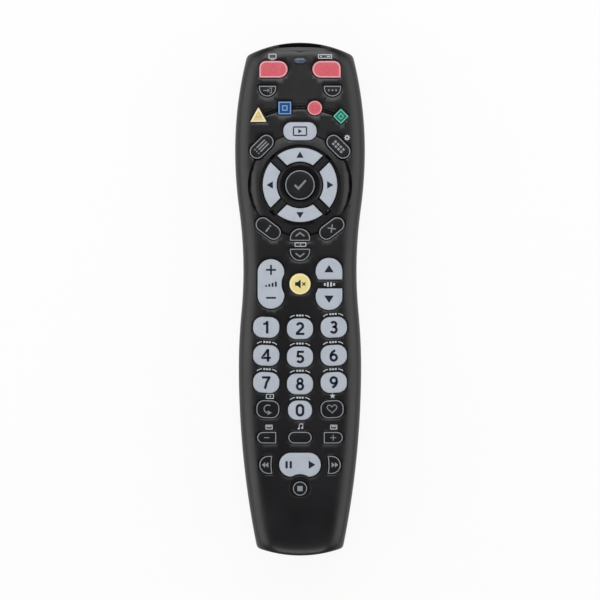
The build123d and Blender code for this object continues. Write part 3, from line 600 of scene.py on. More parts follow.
# Glass and epoxy laminate under a green solder mask: a satin green with paler lines
BOARD = Tracked("glass_epoxy_laminate", "#1e5a33", "#1a5230", roughness=0.35, uneven=0.04,
                patch_mm=8.0, grain_mm=0.9, specular=0.43, ior=1.55)
# Epoxy moulding compound from a finely etched tool: a flat dark grey
CHIP = Finish("epoxy_moulding_compound", "#17171a", "#202024", roughness=0.6, patch_mm=2.0,
              grain_mm=0.3, relief_mm=0.008, specular=0.43, ior=1.55)
# A ceramic body dipped in blue resin: glossy, with a slightly lumpy surface
CERAMIC = Finish("dipped_ceramic_blue", "#2c6fb0", "#3579ba", roughness=0.3, patch_mm=2.0,
                 grain_mm=0.5, specular=0.43, ior=1.55)
# Heat-shrunk vinyl: a glossy navy skin drawn tight over the can
SLEEVE = Finish("heat_shrunk_capacitor_sleeve", "#1c2a4e", "#243258", roughness=0.3, patch_mm=3.0,
                relief_mm=0.005, specular=0.442, ior=1.54)
# Cast epoxy: nearly clear on the status light, and violet for infrared
LED = Finish("clear_epoxy_led", "#d9e3f2", "#e6edf7", roughness=0.12, uneven=0.03, patch_mm=1.0,
             grain_mm=0.5, relief_mm=0.003, speckle=0.1, specular=0.43, transmission=0.3, ior=1.55)
EMITTER = Finish("tinted_epoxy_emitter", "#4b4368", "#564e75", roughness=0.1, uneven=0.03,
                 patch_mm=2.0, relief_mm=0.003, speckle=0.1, specular=0.43, transmission=0.4, ior=1.55)
# Printed film shrunk on a cell: a glossy black body with a copper-coloured end
CELL = Banded("shrink_wrapped_cell", "#1b1b1e", "#808080", roughness=0.22, uneven=0.04,
              patch_mm=9.0, grain_mm=1.2, relief_mm=0.004, band="#b4713a", stops=(-59.0,),
              span=(-96.0, -44.0), specular=0.43, ior=1.55)
# Nickel plate over spring steel: a warm pale metal, bright with soft streaks of wear
NICKEL = Finish("nickel_plated_spring_steel", "#c4c2bd", "#d2d0cb", roughness=0.22, uneven=0.07,
                grain_mm=0.8, relief_mm=0.004, speckle=0.2, metallic=1.0)
# Zinc plate over steel: a cooler, greyer metal
ZINC = Finish("zinc_plated_steel", "#b4b7ba", "#c5c8cb", roughness=0.3, uneven=0.08, patch_mm=2.0,
              grain_mm=0.5, relief_mm=0.006, speckle=0.2, metallic=1.0)


# Outlines of the keys, about their own middles

def block(width: float, height: float, corner: float = 0.0) -> np.ndarray:
    """A rectangle with its corners on arcs of one radius."""
    x, y, r = width / 2 - corner, height / 2 - corner, max(corner, SHARP)
    return np.vstack([arc(x, y, r, 0, 90), arc(-x, y, r, 90, 180),
                      arc(-x, -y, r, 180, 270), arc(x, -y, r, 270, 360)])


def power_shape(width: float, height: float, corner: float, side: int) -> np.ndarray:
    """A bar with a half-round inner end, an eased outer top corner and a crisp lower one.

    Args:
        width, height, corner: the bar and the radius of its outer top corner; side: 1 where
        the outer end points along X, -1 where it points against it.
    Returns:
        The outline.
    """
    top, out = height / 2, width / 2
    return to_side(np.vstack([[(out, -top)], arc(out - corner, top - corner, corner, 0, 90),
                              arc(top - out, 0, top, 90, 270)]), side)


def dee(width: float, height: float, corner: float) -> np.ndarray:
    """A flat top over a bow: the bow's circle passes through both sides and the lowest point.

    With a sag s and a width w, the circle's radius is (w^2 / 4 + s^2) / (2 s).

    Args:
        width, height: of the whole; corner: how far below the top the bow starts.
    Returns:
        The outline.
    """
    sag = height - corner
    radius = (width**2 / 4 + sag**2) / (2 * sag)
    reach = math.degrees(math.asin(min(width / 2 / radius, 1.0)))
    if sag > radius:
        reach = 180 - reach
    bow = arc(0, radius - height / 2, radius, 270 - reach, 270 + reach, 40)
    return np.vstack([[(width / 2, height / 2), (-width / 2, height / 2)], bow])


def ring_part(outer: float, inner: float, spoke: float) -> np.ndarray:
    """The upper quarter of a ring, between two diagonal gaps of even width.

    Half a gap takes the angle asin(spoke / 2 / radius) from each end of an arc.

    Args:
        outer, inner: radii of the ring; spoke: width of the gaps.
    Returns:
        The outline, about the ring's middle.
    """
    far, near = (45 - math.degrees(math.asin(spoke / 2 / radius)) for radius in (outer, inner))
    return np.vstack([arc(0, 0, outer, 90 - far, 90 + far, 40),
                      arc(0, 0, inner, 90 + near, 90 - near, 30)])


def notched(width: float, height: float, corner: float, x: float, y: float, radius: float,
            half: int = 0, step: float = 0.15) -> np.ndarray:
    """A rounded bar that gives way to a round neighbour.

    Points inside the neighbour's circle are pushed out to it along its radii. For half of a
    bar the points beyond its straight end are held at that end.

    Args:
        width, height, corner: the bar; x, y, radius: the circle; half: +1 or -1 for the upper
        or lower half of a bar of twice the height, 0 for a whole one; step: along the outline.
    Returns:
        The outline.
    """
    loop = evenly(block(width, height * (2 if half else 1), corner), step)
    if half:
        loop[:, 1] = half * np.maximum(loop[:, 1] * half, 0)
    gap = loop - (x, y)
    far = np.hypot(*gap.T)
    push = far < radius
    loop[push] = (x, y) + gap[push] * (radius / far[push])[:, None]
    return loop


def end_bar(width: float, height: float, side: int) -> np.ndarray:
    """A bar with one half-round end.

    Args:
        width, height: of the bar; side: 1 for the round end along X, -1 for against it.
    Returns:
        The outline.
    """
    h = height / 2
    loop = np.vstack([arc(width / 2 - h, 0, h, -90, 90), [(-width / 2, h), (-width / 2, -h)]])
    return to_side(loop, side)


def side_dee(width: float, height: float, hollow: float, side: int) -> np.ndarray:
    """A half-round outer side and a hollow inner one.

    With h half the height, the inner side is drawn in by hollow (1 - (y / h)^2).

    Args:
        width, height: of the whole; hollow: depth of the inner side; side: 1 for the round
        side along X, -1 for against it.
    Returns:
        The outline.
    """
    h = height / 2
    y = np.linspace(h, -h, 20)
    inner = np.column_stack([hollow * (1 - (y / h) ** 2) - width / 2, y])
    return to_side(np.vstack([arc(width / 2 - h, 0, h, -90, 90, 40), inner]), side)


# Printed marks, as lists of shapes

def bar(x: float, y: float, width: float, height: float) -> np.ndarray:
    """An upright rectangle about a point."""
    return np.array([(1, -1), (1, 1), (-1, 1), (-1, -1)]) * (width / 2, height / 2) + (x, y)


def dot(x: float, y: float, radius: float = 0.42) -> np.ndarray:
    """A round dot about a point."""
    return arc(x, y, radius, 0, 345, 16)


def stroke(points: np.ndarray | list[Spot], width: float, sharpest: float = 0.3) -> np.ndarray:
    """A line of even width along open points: out along one side of them and back the other.

    With a and b the unit steps before and after a point, each side stands off by width times
    the normal of m = a + b over |m|^2, which mitres the corner.

    Args:
        points: the line's points; width: its width; sharpest: least |m|, which caps a mitre.
    Returns:
        The outline of the line.
    """
    points = np.asarray(points, float)
    step = np.diff(points, axis=0)
    step /= np.hypot(*step.T)[:, None]
    mid = np.vstack([step[:1], step]) + np.vstack([step, step[-1:]])
    length = np.maximum(np.hypot(*mid.T), sharpest)
    side = np.stack([-mid[:, 1], mid[:, 0]], axis=1) / length[:, None] ** 2 * width
    return np.vstack([points - side, (points + side)[::-1]])


def frame_line(loop: np.ndarray, inset: float, width: float) -> list[np.ndarray]:
    """A line that follows a loop at an inset."""
    return [grown(loop, -inset), grown(loop, -inset - width)]


def panel(width: float, height: float, corner: float, line: float,
          step: float = 0.2) -> list[np.ndarray]:
    """An empty rounded rectangle drawn with a line."""
    return frame_line(evenly(block(width, height, corner), step), 0, line)


def wedge(x: float, y: float, base: float, height: float, turn: float = 0.0) -> np.ndarray:
    """A filled arrowhead about a point, pointing up before it is turned."""
    loop = np.array([(-base / 2, -height / 2), (base / 2, -height / 2), (0, height / 2)])
    return placed(loop, (x, y), turn)


def plus(x: float, y: float, size: float, width: float, turn: float = 0.0) -> np.ndarray:
    """A cross with equal arms: the corners of one arm, turned three times.

    Args:
        x, y: its middle; size: of the whole; width: of an arm; turn: in degrees.
    Returns:
        The outline.
    """
    s, w = size / 2, width / 2
    arm = np.array([(w, w), (w, s), (-w, s)])
    return placed(np.vstack([placed(arm, (0, 0), 90 * n) for n in range(4)]), (x, y), turn)


class Sign(Enum):
    """The generic signs printed on keys and case."""

    POWER = "power"
    ARROW_IN = "arrow in"
    DOTS = "dots"
    ON_DEMAND = "play in a screen"
    LIST = "list"
    GRID = "grid"
    TICK = "tick"
    INFO = "info"
    CROSS = "cross"
    CHEVRON = "chevron"
    VOLUME = "volume"
    UP = "up"
    ARROW = "arrow"
    MUTE = "mute"
    RETURN = "return"
    HEART = "heart"
    MINUS = "minus"
    PLUS = "plus"
    SKIP = "skip"
    PAUSE_PLAY = "pause and play"
    STOP = "stop"
    SCREEN = "screen"
    BOX = "box"
    GEAR = "gear"
    PAGE = "page"
    AERIAL = "aerial"
    CALENDAR = "calendar"
    NOTE = "note"
    STAR = "star"
    BACK = "back"

    def flat(self) -> Flat:
        """The triangles of this sign about its own middle, in mm."""
        return painted(SIGNS[self]())


def heart_curve(scale: float = 0.145, lift: float = 2.0) -> np.ndarray:
    """The heart curve: x = 16 sin^3 t, y = 13 cos t - 5 cos 2t - 2 cos 3t - cos 4t.

    Args:
        scale: mm for one of its units; lift: units that set its middle on the origin.
    Returns:
        The outline.
    """
    t = np.linspace(0, 2 * np.pi, 60, endpoint=False)
    y = 13 * np.cos(t) - 5 * np.cos(2 * t) - 2 * np.cos(3 * t) - np.cos(4 * t)
    return np.stack([16 * np.sin(t) ** 3, y + lift], axis=1)[::-1] * scale


def gear_curve(middle: float = 1.05, tooth: float = 0.22) -> np.ndarray:
    """A gear: the radius is middle + tooth tanh(3 cos 8t), a squared-off wave with eight teeth.

    Args:
        middle: mean radius; tooth: half the height of a tooth.
    Returns:
        The outline.
    """
    t = np.linspace(0, 2 * np.pi, 96, endpoint=False)
    radius = middle + tooth * np.tanh(3 * np.cos(8 * t))
    return np.stack([radius * np.cos(t), radius * np.sin(t)], axis=1)


def star_curve(tip: float = 1.3, notch: float = 0.55) -> np.ndarray:
    """A star: ten points whose distance from the middle switches between tip and notch.

    Args:
        tip, notch: the two distances.
    Returns:
        The outline.
    """
    t = np.radians(90 + 36 * np.arange(10))
    radius = np.where(np.arange(10) % 2 == 0, tip, notch)
    return np.stack([radius * np.cos(t), radius * np.sin(t)], axis=1)


SIGNS: dict[Sign, Callable[[], list[Shape]]] = {
    Sign.POWER: lambda: [stroke(arc(0, 0, 1.35, 125, 415, 24), 0.38), bar(0, 1.1, 0.4, 1.5)],
    Sign.ARROW_IN: lambda: [
        wedge(0.5, 0.3, 1.5, 1.1, -90), bar(-0.95, 0.3, 1.6, 0.4),
        stroke([(0.8, 1.35), (1.7, 1.35), (1.7, -0.75), (0.8, -0.75)], 0.35)],
    Sign.DOTS: lambda: [dot(x, 0.4) for x in (-1.6, 0, 1.6)],
    Sign.ON_DEMAND: lambda: [panel(6.2, 4.2, 0.7, 0.55, 0.3), wedge(0.1, 0, 1.9, 1.7, -90)],
    Sign.LIST: lambda: [bar(x, y, width, 0.5) for x, width in ((0.6, 5.0), (-2.9, 0.6))
                        for y in (-1.15, 0, 1.15)],
    Sign.GRID: lambda: [bar(x, y, 1.05, 0.95) for x in (-2.4, -0.8, 0.8, 2.4) for y in (-0.7, 0.7)],
    Sign.TICK: lambda: [stroke([(-2.3, 0.0), (-0.7, -1.6), (2.5, 2.0)], 0.85)],
    Sign.INFO: lambda: [dot(0, 1.35), bar(0, -0.55, 0.7, 2.3)],
    Sign.CROSS: lambda: [plus(0, 0, 3.6, 0.55, 45)],
    Sign.CHEVRON: lambda: [stroke([(-1.9, -0.7), (0, 0.8), (1.9, -0.7)], 0.6)],
    Sign.VOLUME: lambda: [
        plus(0, 6.1, 4.3, 0.8), bar(0, -6.0, 4.2, 0.8),
        *(bar(-2.1 + 1.4 * n, -0.85 + 0.25 * n, 0.85, 0.7 + 0.5 * n) for n in range(4))],
    Sign.UP: lambda: [wedge(0, 13.1, 3.2, 2.7)],
    Sign.ARROW: lambda: [wedge(0, 0, 4.1, 3.2)],
    Sign.MUTE: lambda: [
        np.array([(-2.1, -0.8), (-1.1, -0.8), (0.3, -2.0), (0.3, 2.0), (-1.1, 0.8), (-2.1, 0.8)]),
        plus(1.65, 0, 2.0, 0.45, 45)],
    Sign.RETURN: lambda: [stroke(arc(0.0, 0.15, 1.65, 55, 275, 24), 0.5),
                          wedge(0.9, -1.5, 2.1, 1.9, -90)],
    Sign.HEART: lambda: [frame_line(evenly(heart_curve(), 0.2, 0.1), 0, 0.42)],
    Sign.MINUS: lambda: [bar(0, 0, 2.2, 0.4)],
    Sign.PLUS: lambda: [plus(0, 0, 2.5, 0.4)],
    Sign.SKIP: lambda: [wedge(x, 0, 2.3, 1.4, -90) for x in (-0.7, 0.7)],
    Sign.PAUSE_PLAY: lambda: [bar(-5.8, 0, 1.0, 3.1), bar(-4.0, 0, 1.0, 3.1),
                              wedge(5.2, 0, 3.6, 2.9, -90)],
    Sign.STOP: lambda: [bar(0, 0, 2.3, 2.2)],
    Sign.SCREEN: lambda: [panel(3.4, 2.2, 0.3, 0.36), bar(0, -1.5, 1.7, 0.3)],
    Sign.BOX: lambda: [panel(6.0, 1.9, 0.3, 0.36), bar(-1.7, 0, 0.6, 0.5), bar(1.5, 0, 1.5, 0.4)],
    Sign.GEAR: lambda: [[gear_curve(), dot(0, 0, 0.45)]],
    Sign.PAGE: lambda: [[loop + (x, 0) for loop in panel(2.6, 1.8, 0.2, 0.32)] for x in (-1.2, 1.2)],
    Sign.AERIAL: lambda: [bar(x, 0, 0.75, height) for x, height in
                          ((-2.0, 1.1), (-0.7, 1.9), (0.7, 1.9), (2.0, 1.1))],
    Sign.CALENDAR: lambda: [panel(3.0, 2.0, 0.2, 0.33), bar(0, 0.2, 1.7, 0.36)],
    Sign.NOTE: lambda: [dot(-0.85, -0.7), bar(-0.6, 0.45, 0.28, 1.7), dot(0.65, -0.45),
                        bar(0.9, 0.7, 0.28, 1.7), bar(0.15, 1.28, 1.0, 0.35)],
    Sign.STAR: lambda: [star_curve()],
    Sign.BACK: lambda: [panel(3.4, 2.1, 0.3, 0.33), wedge(0, 0, 0.95, 0.85, 90)],
}


def figure_shapes(figure: str) -> list[Shape]:
    """A bold plain figure 5.4 mm high, drawn as strokes of even width along arcs and lines.

    Args:
        figure: one of the ten figures.
    Returns:
        The shapes of its strokes, for painted().
    """
    tall, bold, fine = 5.4, 1.08, 0.95
    if figure == "0":
        return [[block(3.8, 5.5, 1.9), block(3.8 - 2 * bold, 5.5 - 2 * bold, 0.95)]]
    if figure == "1":
        return [bar(0.4, 0, 1.12, tall), stroke([(0.35, 2.1), (-0.35, 1.6), (-1.3, 1.3)], 0.9)]
    if figure == "2":
        bow = arc(0, 1.15, 1.25, 165, -32, 20)
        return [stroke(np.vstack([bow, [(-1.45, -2.0)]]), bold), bar(0.05, -2.2, 3.7, 1.0)]
    if figure == "3":
        return [stroke(arc(-0.05, 1.25, 1.05, 155, -90, 20), bold),
                stroke(arc(-0.05, -1.05, 1.25, 90, -155, 24), bold), bar(-0.2, 0.2, 0.9, 0.8)]
    if figure == "4":
        return [stroke([(0.75, 2.6), (-1.75, -1.0), (-1.6, -1.1), (1.95, -1.1)], fine),
                bar(0.75, 0, bold, tall)]
    if figure == "5":
        return [bar(0.3, 2.2, 2.8, 1.0), stroke([(-0.75, 2.5), (-1.1, -0.2)], fine),
                stroke(arc(0, -0.95, 1.3, 140, -150, 26), bold)]
    if figure in "69":
        ring = [arc(0, -0.92, 1.83, 0, 352, 45), arc(0, -0.92, 0.78, 0, 345, 30)]
        tail = stroke(arc(1.55, -0.6, 2.87, 178, 108, 18), bold)
        if figure == "6":
            return [ring, tail]
        return [[placed(loop, (0, 0), 180) for loop in ring], placed(tail, (0, 0), 180)]
    if figure == "7":
        return [bar(0, 2.2, 3.7, 1.0), stroke([(1.3, 2.1), (0.1, -0.1), (-0.55, -2.7)], bold)]
    return [[arc(0, 1.3, 1.5, 0, 352, 45), arc(0, 1.3, 0.54, 0, 345, 24)],
            [arc(0, -1.05, 1.8, 0, 352, 45), arc(0, -1.05, 0.75, 0, 345, 24)]]


@dataclass
class Key:
    """One key cap: an outline with a rounded edge, a faintly crowned face and its printing.

    The face's height is a function of the distance from the outline: a quarter-round of
    radius edge, then a crown that dies out over ease. It stands proud of the front, or
    flush_proud where it is a flush key, and its foot is at low. The front's opening is larger
    than the cap by gap.

    The outline is resampled at side_step, with its corners eased by softness. The triangles
    follow rings at the depths, whose points keep crowded times their depth from the outline,
    and loose points at every step further in than step_inset.

    The sign, a Sign or a figure, is turned by sign_turn and moved to sign_at, and a border
    line of border_width may run at border_inset. A print stands film_lift over the face and
    is film_depth thick.
    """

    name: str
    outline: np.ndarray
    spot: Spot
    finish: Finish
    slot: str
    turn: float = 0.0
    flush: bool = False
    sign: Sign | str | None = None
    sign_turn: float = 0.0
    sign_at: Spot = (0.0, 0.0)
    ink: Finish = NAVY_INK
    border: Finish | None = None
    border_inset: float = 0.28
    border_width: float = 0.4
    gap: float = 0.22
    edge: float = 0.45
    crown: float = 0.08
    ease: float = 1.6
    front: float = FRONT_Z
    proud: float = 1.1
    flush_proud: float = 0.5
    low: float = 23.6
    side_step: float = 0.42
    softness: float = 0.22
    depths: tuple[float, ...] = (0.03, 0.12, 0.26, 0.45, 0.66, 0.9)
    crowded: float = 0.9
    step: float = 1.1
    step_inset: float = 1.3
    film_lift: float = 0.02
    film_depth: float = 0.06
    loop: np.ndarray = field(init=False)

    def __post_init__(self) -> None:
        """Eases the outline and sets it in its place on the front."""
        self.loop = placed(evenly(self.outline, self.side_step, self.softness), self.spot, self.turn)

    @property
    def body(self) -> str:
        """The body that this key is in the frame."""
        return f"{self.name}_body"

    def top(self, xy: np.ndarray) -> np.ndarray:
        """Height of the key's face: full height less the rounded edge and the crown.

        Args:
            xy: points on the plan.
        Returns:
            The height at each.
        """
        depth = np.where(within(xy, self.loop), from_edge(xy, self.loop), 0.0)
        full = self.front + (self.flush_proud if self.flush else self.proud)
        fall = quarter_round(depth, self.edge, self.edge)
        return full - fall - self.crown * (1 - smooth(depth, 0, self.ease))

    def ring(self, depth: float) -> np.ndarray:
        """Points at one distance in from the outline, without those that a corner crowds."""
        ring = grown(self.loop, -depth)
        return ring[within(ring, self.loop) & (from_edge(ring, self.loop) > self.crowded * depth)]

    def build(self) -> None:
        """Makes the cap and its printing in place of the key's plain solid."""
        rest = lattice(self.loop.min(axis=0), self.loop.max(axis=0), self.step)
        rest = rest[within(rest, self.loop)]
        rest = rest[from_edge(rest, self.loop) > self.step_inset]
        free = np.vstack([self.ring(depth) for depth in self.depths] + [rest])
        flat = filled([self.loop], free)
        cap = new_piece(f"{self.name}_cap", raised(flat, self.top(flat[0]), self.low), self.body,
                        self.finish, crease=50)
        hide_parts(self.name)
        self.print_sign()
        self.print_border()

    def print_film(self, part: str, flat: Flat, ink: Finish) -> None:
        """Prints a flat shape on the face as a thin film.

        Args:
            part: what the piece is called after the key; flat: its triangles; ink: its finish.
        """
        film = draped(flat, self.top, self.film_lift, self.film_depth)
        new_piece(f"{self.name}_{part}", film, self.body, ink, crease=30)

    def print_sign(self) -> None:
        """Prints the sign or figure, where the key has one."""
        if self.sign is None:
            return
        is_sign = isinstance(self.sign, Sign)
        xy, tris = self.sign.flat() if is_sign else painted(figure_shapes(self.sign))
        xy = placed(placed(xy, self.sign_at, self.sign_turn), self.spot, self.turn)
        self.print_film("sign", (xy, tris), self.ink)

    def print_border(self) -> None:
        """Prints the border line, with the face's own rings so that it follows the edge."""
        if self.border is None:
            return
        clear = self.depths[0]
        low, high = self.border_inset + clear, self.border_inset + self.border_width - clear
        rings = [self.ring(depth) for depth in self.depths if low < depth < high]
        line = frame_line(self.loop, self.border_inset, self.border_width)
        self.print_film("border", filled(line, np.vstack(rings)), self.border)


@dataclass
class KeyBoard:
    """All 43 keys: where each stands, its outline, colour and printing.

    An outline is given as width, height and corner, and the place of a pair of keys as the
    place of the right one.
    """

    power: Triple = (12.3, 7.36, 2.9)
    power_at: Spot = (11.47, 99.45)
    small_dee: Triple = (7.9, 5.1, 0.9)
    small_dee_at: Spot = (14.05, 90.0)
    wide: Triple = (14.4, 7.9, 3.6)
    wide_y: float = 72.66
    capsule: Triple = (12.5, 6.7, 3.35)
    upper_capsule_at: Spot = (16.6, 65.95)
    upper_capsule_turn: float = 45.0
    lower_capsule_at: Spot = (13.75, 30.55)
    lower_capsule_turn: float = 37.0
    pad_y: float = PAD_Y
    pad_ring: Triple = (16.1, 10.1, 4.0)  # two radii and the gaps' width
    ok_radius: float = 6.6
    page_dee: Triple = (9.2, 5.8, 0.9)
    page_up_y: float = 27.9
    page_down_y: float = 19.15
    rocker: Triple = (11.5, 21.5, 5.7)
    rocker_x: float = 12.55
    rocker_y: float = 6.55
    rocker_gap: float = 0.45
    channel_reach: float = 9.375
    channel_foot: float = 1.925
    channel_sign: float = 4.7
    mute_radius: float = 4.6
    mute_room: float = 8.0  # radius that its neighbours keep clear of
    digit: Triple = (11.3, 9.0, 4.0)
    digit_pitch: float = 14.6
    digit_rows: tuple[float, ...] = (-12.2, -24.35, -36.1)
    digit_dip: float = 0.65
    digit_turn: float = 3.0
    zero: Triple = (10.4, 8.4, 3.9)
    zero_y: float = -48.1
    side_of_zero: Triple = (10.4, 8.2, 3.5)
    side_of_zero_at: Spot = (13.9, -47.65)
    day_bar: Pair = (8.7, 5.45)  # width and height
    day_bar_at: Spot = (14.4, -59.98)
    music: Triple = (10.6, 5.5, 2.75)
    music_y: float = -59.95
    skip: Triple = (6.2, 8.3, 0.45)  # the last is the inner side's hollow
    skip_at: Spot = (14.75, -71.75)
    skip_sign: float = 0.35  # how far its sign stands out from its middle
    play: Triple = (18.0, 10.4, 5.15)
    play_y: float = -71.7
    stop_radius: float = 3.33
    stop_room: float = 6.2
    stop_y: float = STOP_Y
    inset_share: float = 0.42  # of a coloured key, for the shape inside it, and that one's hole
    inset_hole: float = 0.62
    keys: list[Key] = field(default_factory=list)

    def plan(self) -> None:
        """Lists every key, from the head down."""
        self.plan_head()
        self.plan_pad()
        self.plan_rockers()
        self.plan_figures()
        self.plan_tail()

    def plan_head(self) -> None:
        """Lists the power keys, the two under them, the four coloured ones and the wide one."""
        for name, side in (("tv_power_key", -1), ("box_power_key", 1)):
            self.keys.append(Key(name, power_shape(*self.power, side), beside(self.power_at, side),
                                 RED_KEY, "red_key", sign=Sign.POWER, ink=WINE_INK,
                                 border=ROSE_INK, border_inset=0.1, border_width=0.65))
        for name, side, sign in (("input_key", -1, Sign.ARROW_IN), ("setup_key", 1, Sign.DOTS)):
            self.outlined(name, dee(*self.small_dee), beside(self.small_dee_at, side), sign)
        triangle = np.array([(-3.575, -3.25), (3.575, -3.25), (0, 3.25)])
        self.coloured("triangle_key", triangle, (-18.0, 79.9), SAND_KEY, "yellow_key",
                      CREAM_INK, OCHRE_INK)
        self.coloured("square_key", block(5.65, 5.65), (-6.58, 82.7), BLUE_KEY, "blue_key",
                      SKY_INK, SKY_INK)
        self.coloured("round_key", arc(0, 0, 3.2, 0, 352, 45), (6.4, 82.7), RED_KEY, "red_key",
                      ROSE_INK, WINE_INK)
        self.coloured("diamond_key", block(4.9, 4.9), (17.7, 79.1), GREEN_KEY, "green_key",
                      MINT_INK, MINT_INK, 45)
        self.grey("on_demand_key", block(*self.wide), (0, self.wide_y), Sign.ON_DEMAND)

    def plan_pad(self) -> None:
        """Lists the navigation pad, the four capsules round it and the page keys."""
        for name, side, sign in (("guide_key", -1, Sign.LIST), ("menu_key", 1, Sign.GRID)):
            self.outlined(name, block(*self.capsule), beside(self.upper_capsule_at, side), sign,
                          -side * self.upper_capsule_turn, ink=DIM_INK)
        part = ring_part(*self.pad_ring)
        for name, turn in (("up_key", 0), ("left_key", 90), ("down_key", 180), ("right_key", 270)):
            self.grey(name, part, (0, self.pad_y), Sign.UP, turn, flush=True)
        self.outlined("ok_key", arc(0, 0, self.ok_radius, 0, 356, 90), (0, self.pad_y), Sign.TICK)
        for name, side, sign in (("info_key", -1, Sign.INFO), ("exit_key", 1, Sign.CROSS)):
            self.outlined(name, block(*self.capsule), beside(self.lower_capsule_at, side), sign,
                          side * self.lower_capsule_turn)
        pages = (("page_up_key", self.page_up_y, 180), ("page_down_key", self.page_down_y, 0))
        for name, y, turn in pages:
            self.outlined(name, dee(*self.page_dee), (0, y), Sign.CHEVRON, turn, sign_turn=180)

    def plan_rockers(self) -> None:
        """Lists the volume rocker and the channel keys, hollowed for the mute key between them."""
        x, y, room = self.rocker_x, self.rocker_y, self.mute_room
        width, _, corner = self.rocker
        self.grey("volume_rocker", notched(*self.rocker, x, 0, room), (-x, y), Sign.VOLUME,
                  gap=self.rocker_gap)
        for name, up in (("channel_up_key", 1), ("channel_down_key", -1)):
            half = notched(width, self.channel_reach, corner, -x, -up * self.channel_foot, room, up)
            self.grey(name, half, (x, y + up * self.channel_foot), Sign.ARROW,
                      sign_at=(0, up * self.channel_sign), sign_turn=90 - up * 90)
        self.keys.append(Key("mute_key", arc(0, 0, self.mute_radius, 0, 355, 72), (0, y), YELLOW_KEY,
                             "yellow_key", sign=Sign.MUTE, border=CREAM_INK, border_inset=0.3,
                             border_width=0.45))

    def plan_figures(self) -> None:
        """Lists the ten figure keys: the outer columns are turned a little and stand further up."""
        for row, row_y in enumerate(self.digit_rows):
            for side in (-1, 0, 1):
                spot = (side * self.digit_pitch, row_y - (0 if side else self.digit_dip))
                figure = str(3 * row + side + 2)
                turn = side * self.digit_turn
                self.grey(f"digit_{figure}_key", block(*self.digit), spot, figure, turn,
                          sign_turn=-turn)
        self.grey("digit_0_key", block(*self.zero), (0, self.zero_y), "0")

    def plan_tail(self) -> None:
        """Lists the black keys round and under the zero, and the transport group."""
        for name, side, sign in (("last_key", -1, Sign.RETURN), ("favourite_key", 1, Sign.HEART)):
            self.outlined(name, block(*self.side_of_zero), beside(self.side_of_zero_at, side), sign,
                          side * self.digit_turn)
        for name, side, sign in (("day_back_key", -1, Sign.MINUS), ("day_forward_key", 1, Sign.PLUS)):
            self.outlined(name, end_bar(*self.day_bar, side), beside(self.day_bar_at, side), sign)
        self.outlined("music_key", block(*self.music), (0, self.music_y), None)
        for name, side in (("rewind_key", -1), ("fast_forward_key", 1)):
            self.outlined(name, side_dee(*self.skip, side), beside(self.skip_at, side), Sign.SKIP,
                          sign_turn=90 - side * 90, sign_at=(side * self.skip_sign, 0), ink=DIM_INK)
        play = notched(*self.play, 0, self.stop_y - self.play_y, self.stop_room)
        self.grey("play_pause_rocker", play, (0, self.play_y), Sign.PAUSE_PLAY, gap=self.rocker_gap)
        self.outlined("stop_key", arc(0, 0, self.stop_radius, 0, 353, 50), (0, self.stop_y),
                      Sign.STOP, ink=DIM_INK)

    def outlined(self, name: str, outline: np.ndarray, spot: Spot, sign: Sign | None,
                 turn: float = 0.0, **more: object) -> None:
        """Adds a flush black key with a pale line round it and a dimmer sign, or the ink in more.

        Args:
            name, outline, spot, sign, turn: as in Key; more: other fields of it.
        """
        settings = {"ink": FAINT_INK} | more
        self.keys.append(Key(name, outline, spot, BLACK_KEY, "black_key", turn, True, sign,
                             border=DIM_INK, border_width=0.36, **settings))

    def grey(self, name: str, outline: np.ndarray, spot: Spot, sign: Sign | str,
             turn: float = 0.0, **more: object) -> None:
        """Adds a grey key with a dark sign, from a key's fields and others of them in more."""
        self.keys.append(Key(name, outline, spot, GREY_KEY, "grey_key", turn, sign=sign, **more))

    def coloured(self, name: str, outline: np.ndarray, spot: Spot, finish: Finish, slot: str,
                 line: Finish, inset: Finish, turn: float = 0.0) -> None:
        """Adds a small coloured key with a lighter edge line and its own shape printed inside.

        Args:
            name, outline, spot, finish, slot, turn: as in Key; line: ink of the edge line;
            inset: ink of the shape inside.
        """
        self.keys.append(Key(name, outline, spot, finish, slot, turn, border=line,
                             border_inset=0.08, border_width=0.5, softness=0.3, ink=inset))

    def build(self) -> None:
        """Makes every key, and the small shapes printed inside the coloured ones."""
        for key in self.keys:
            key.build()
            if key.name in ("triangle_key", "square_key", "round_key", "diamond_key"):
                small = (key.loop - key.spot) * self.inset_share + key.spot
                hole = (small - key.spot) * self.inset_hole + key.spot
                key.print_film("inset", filled([small, hole]), key.ink)


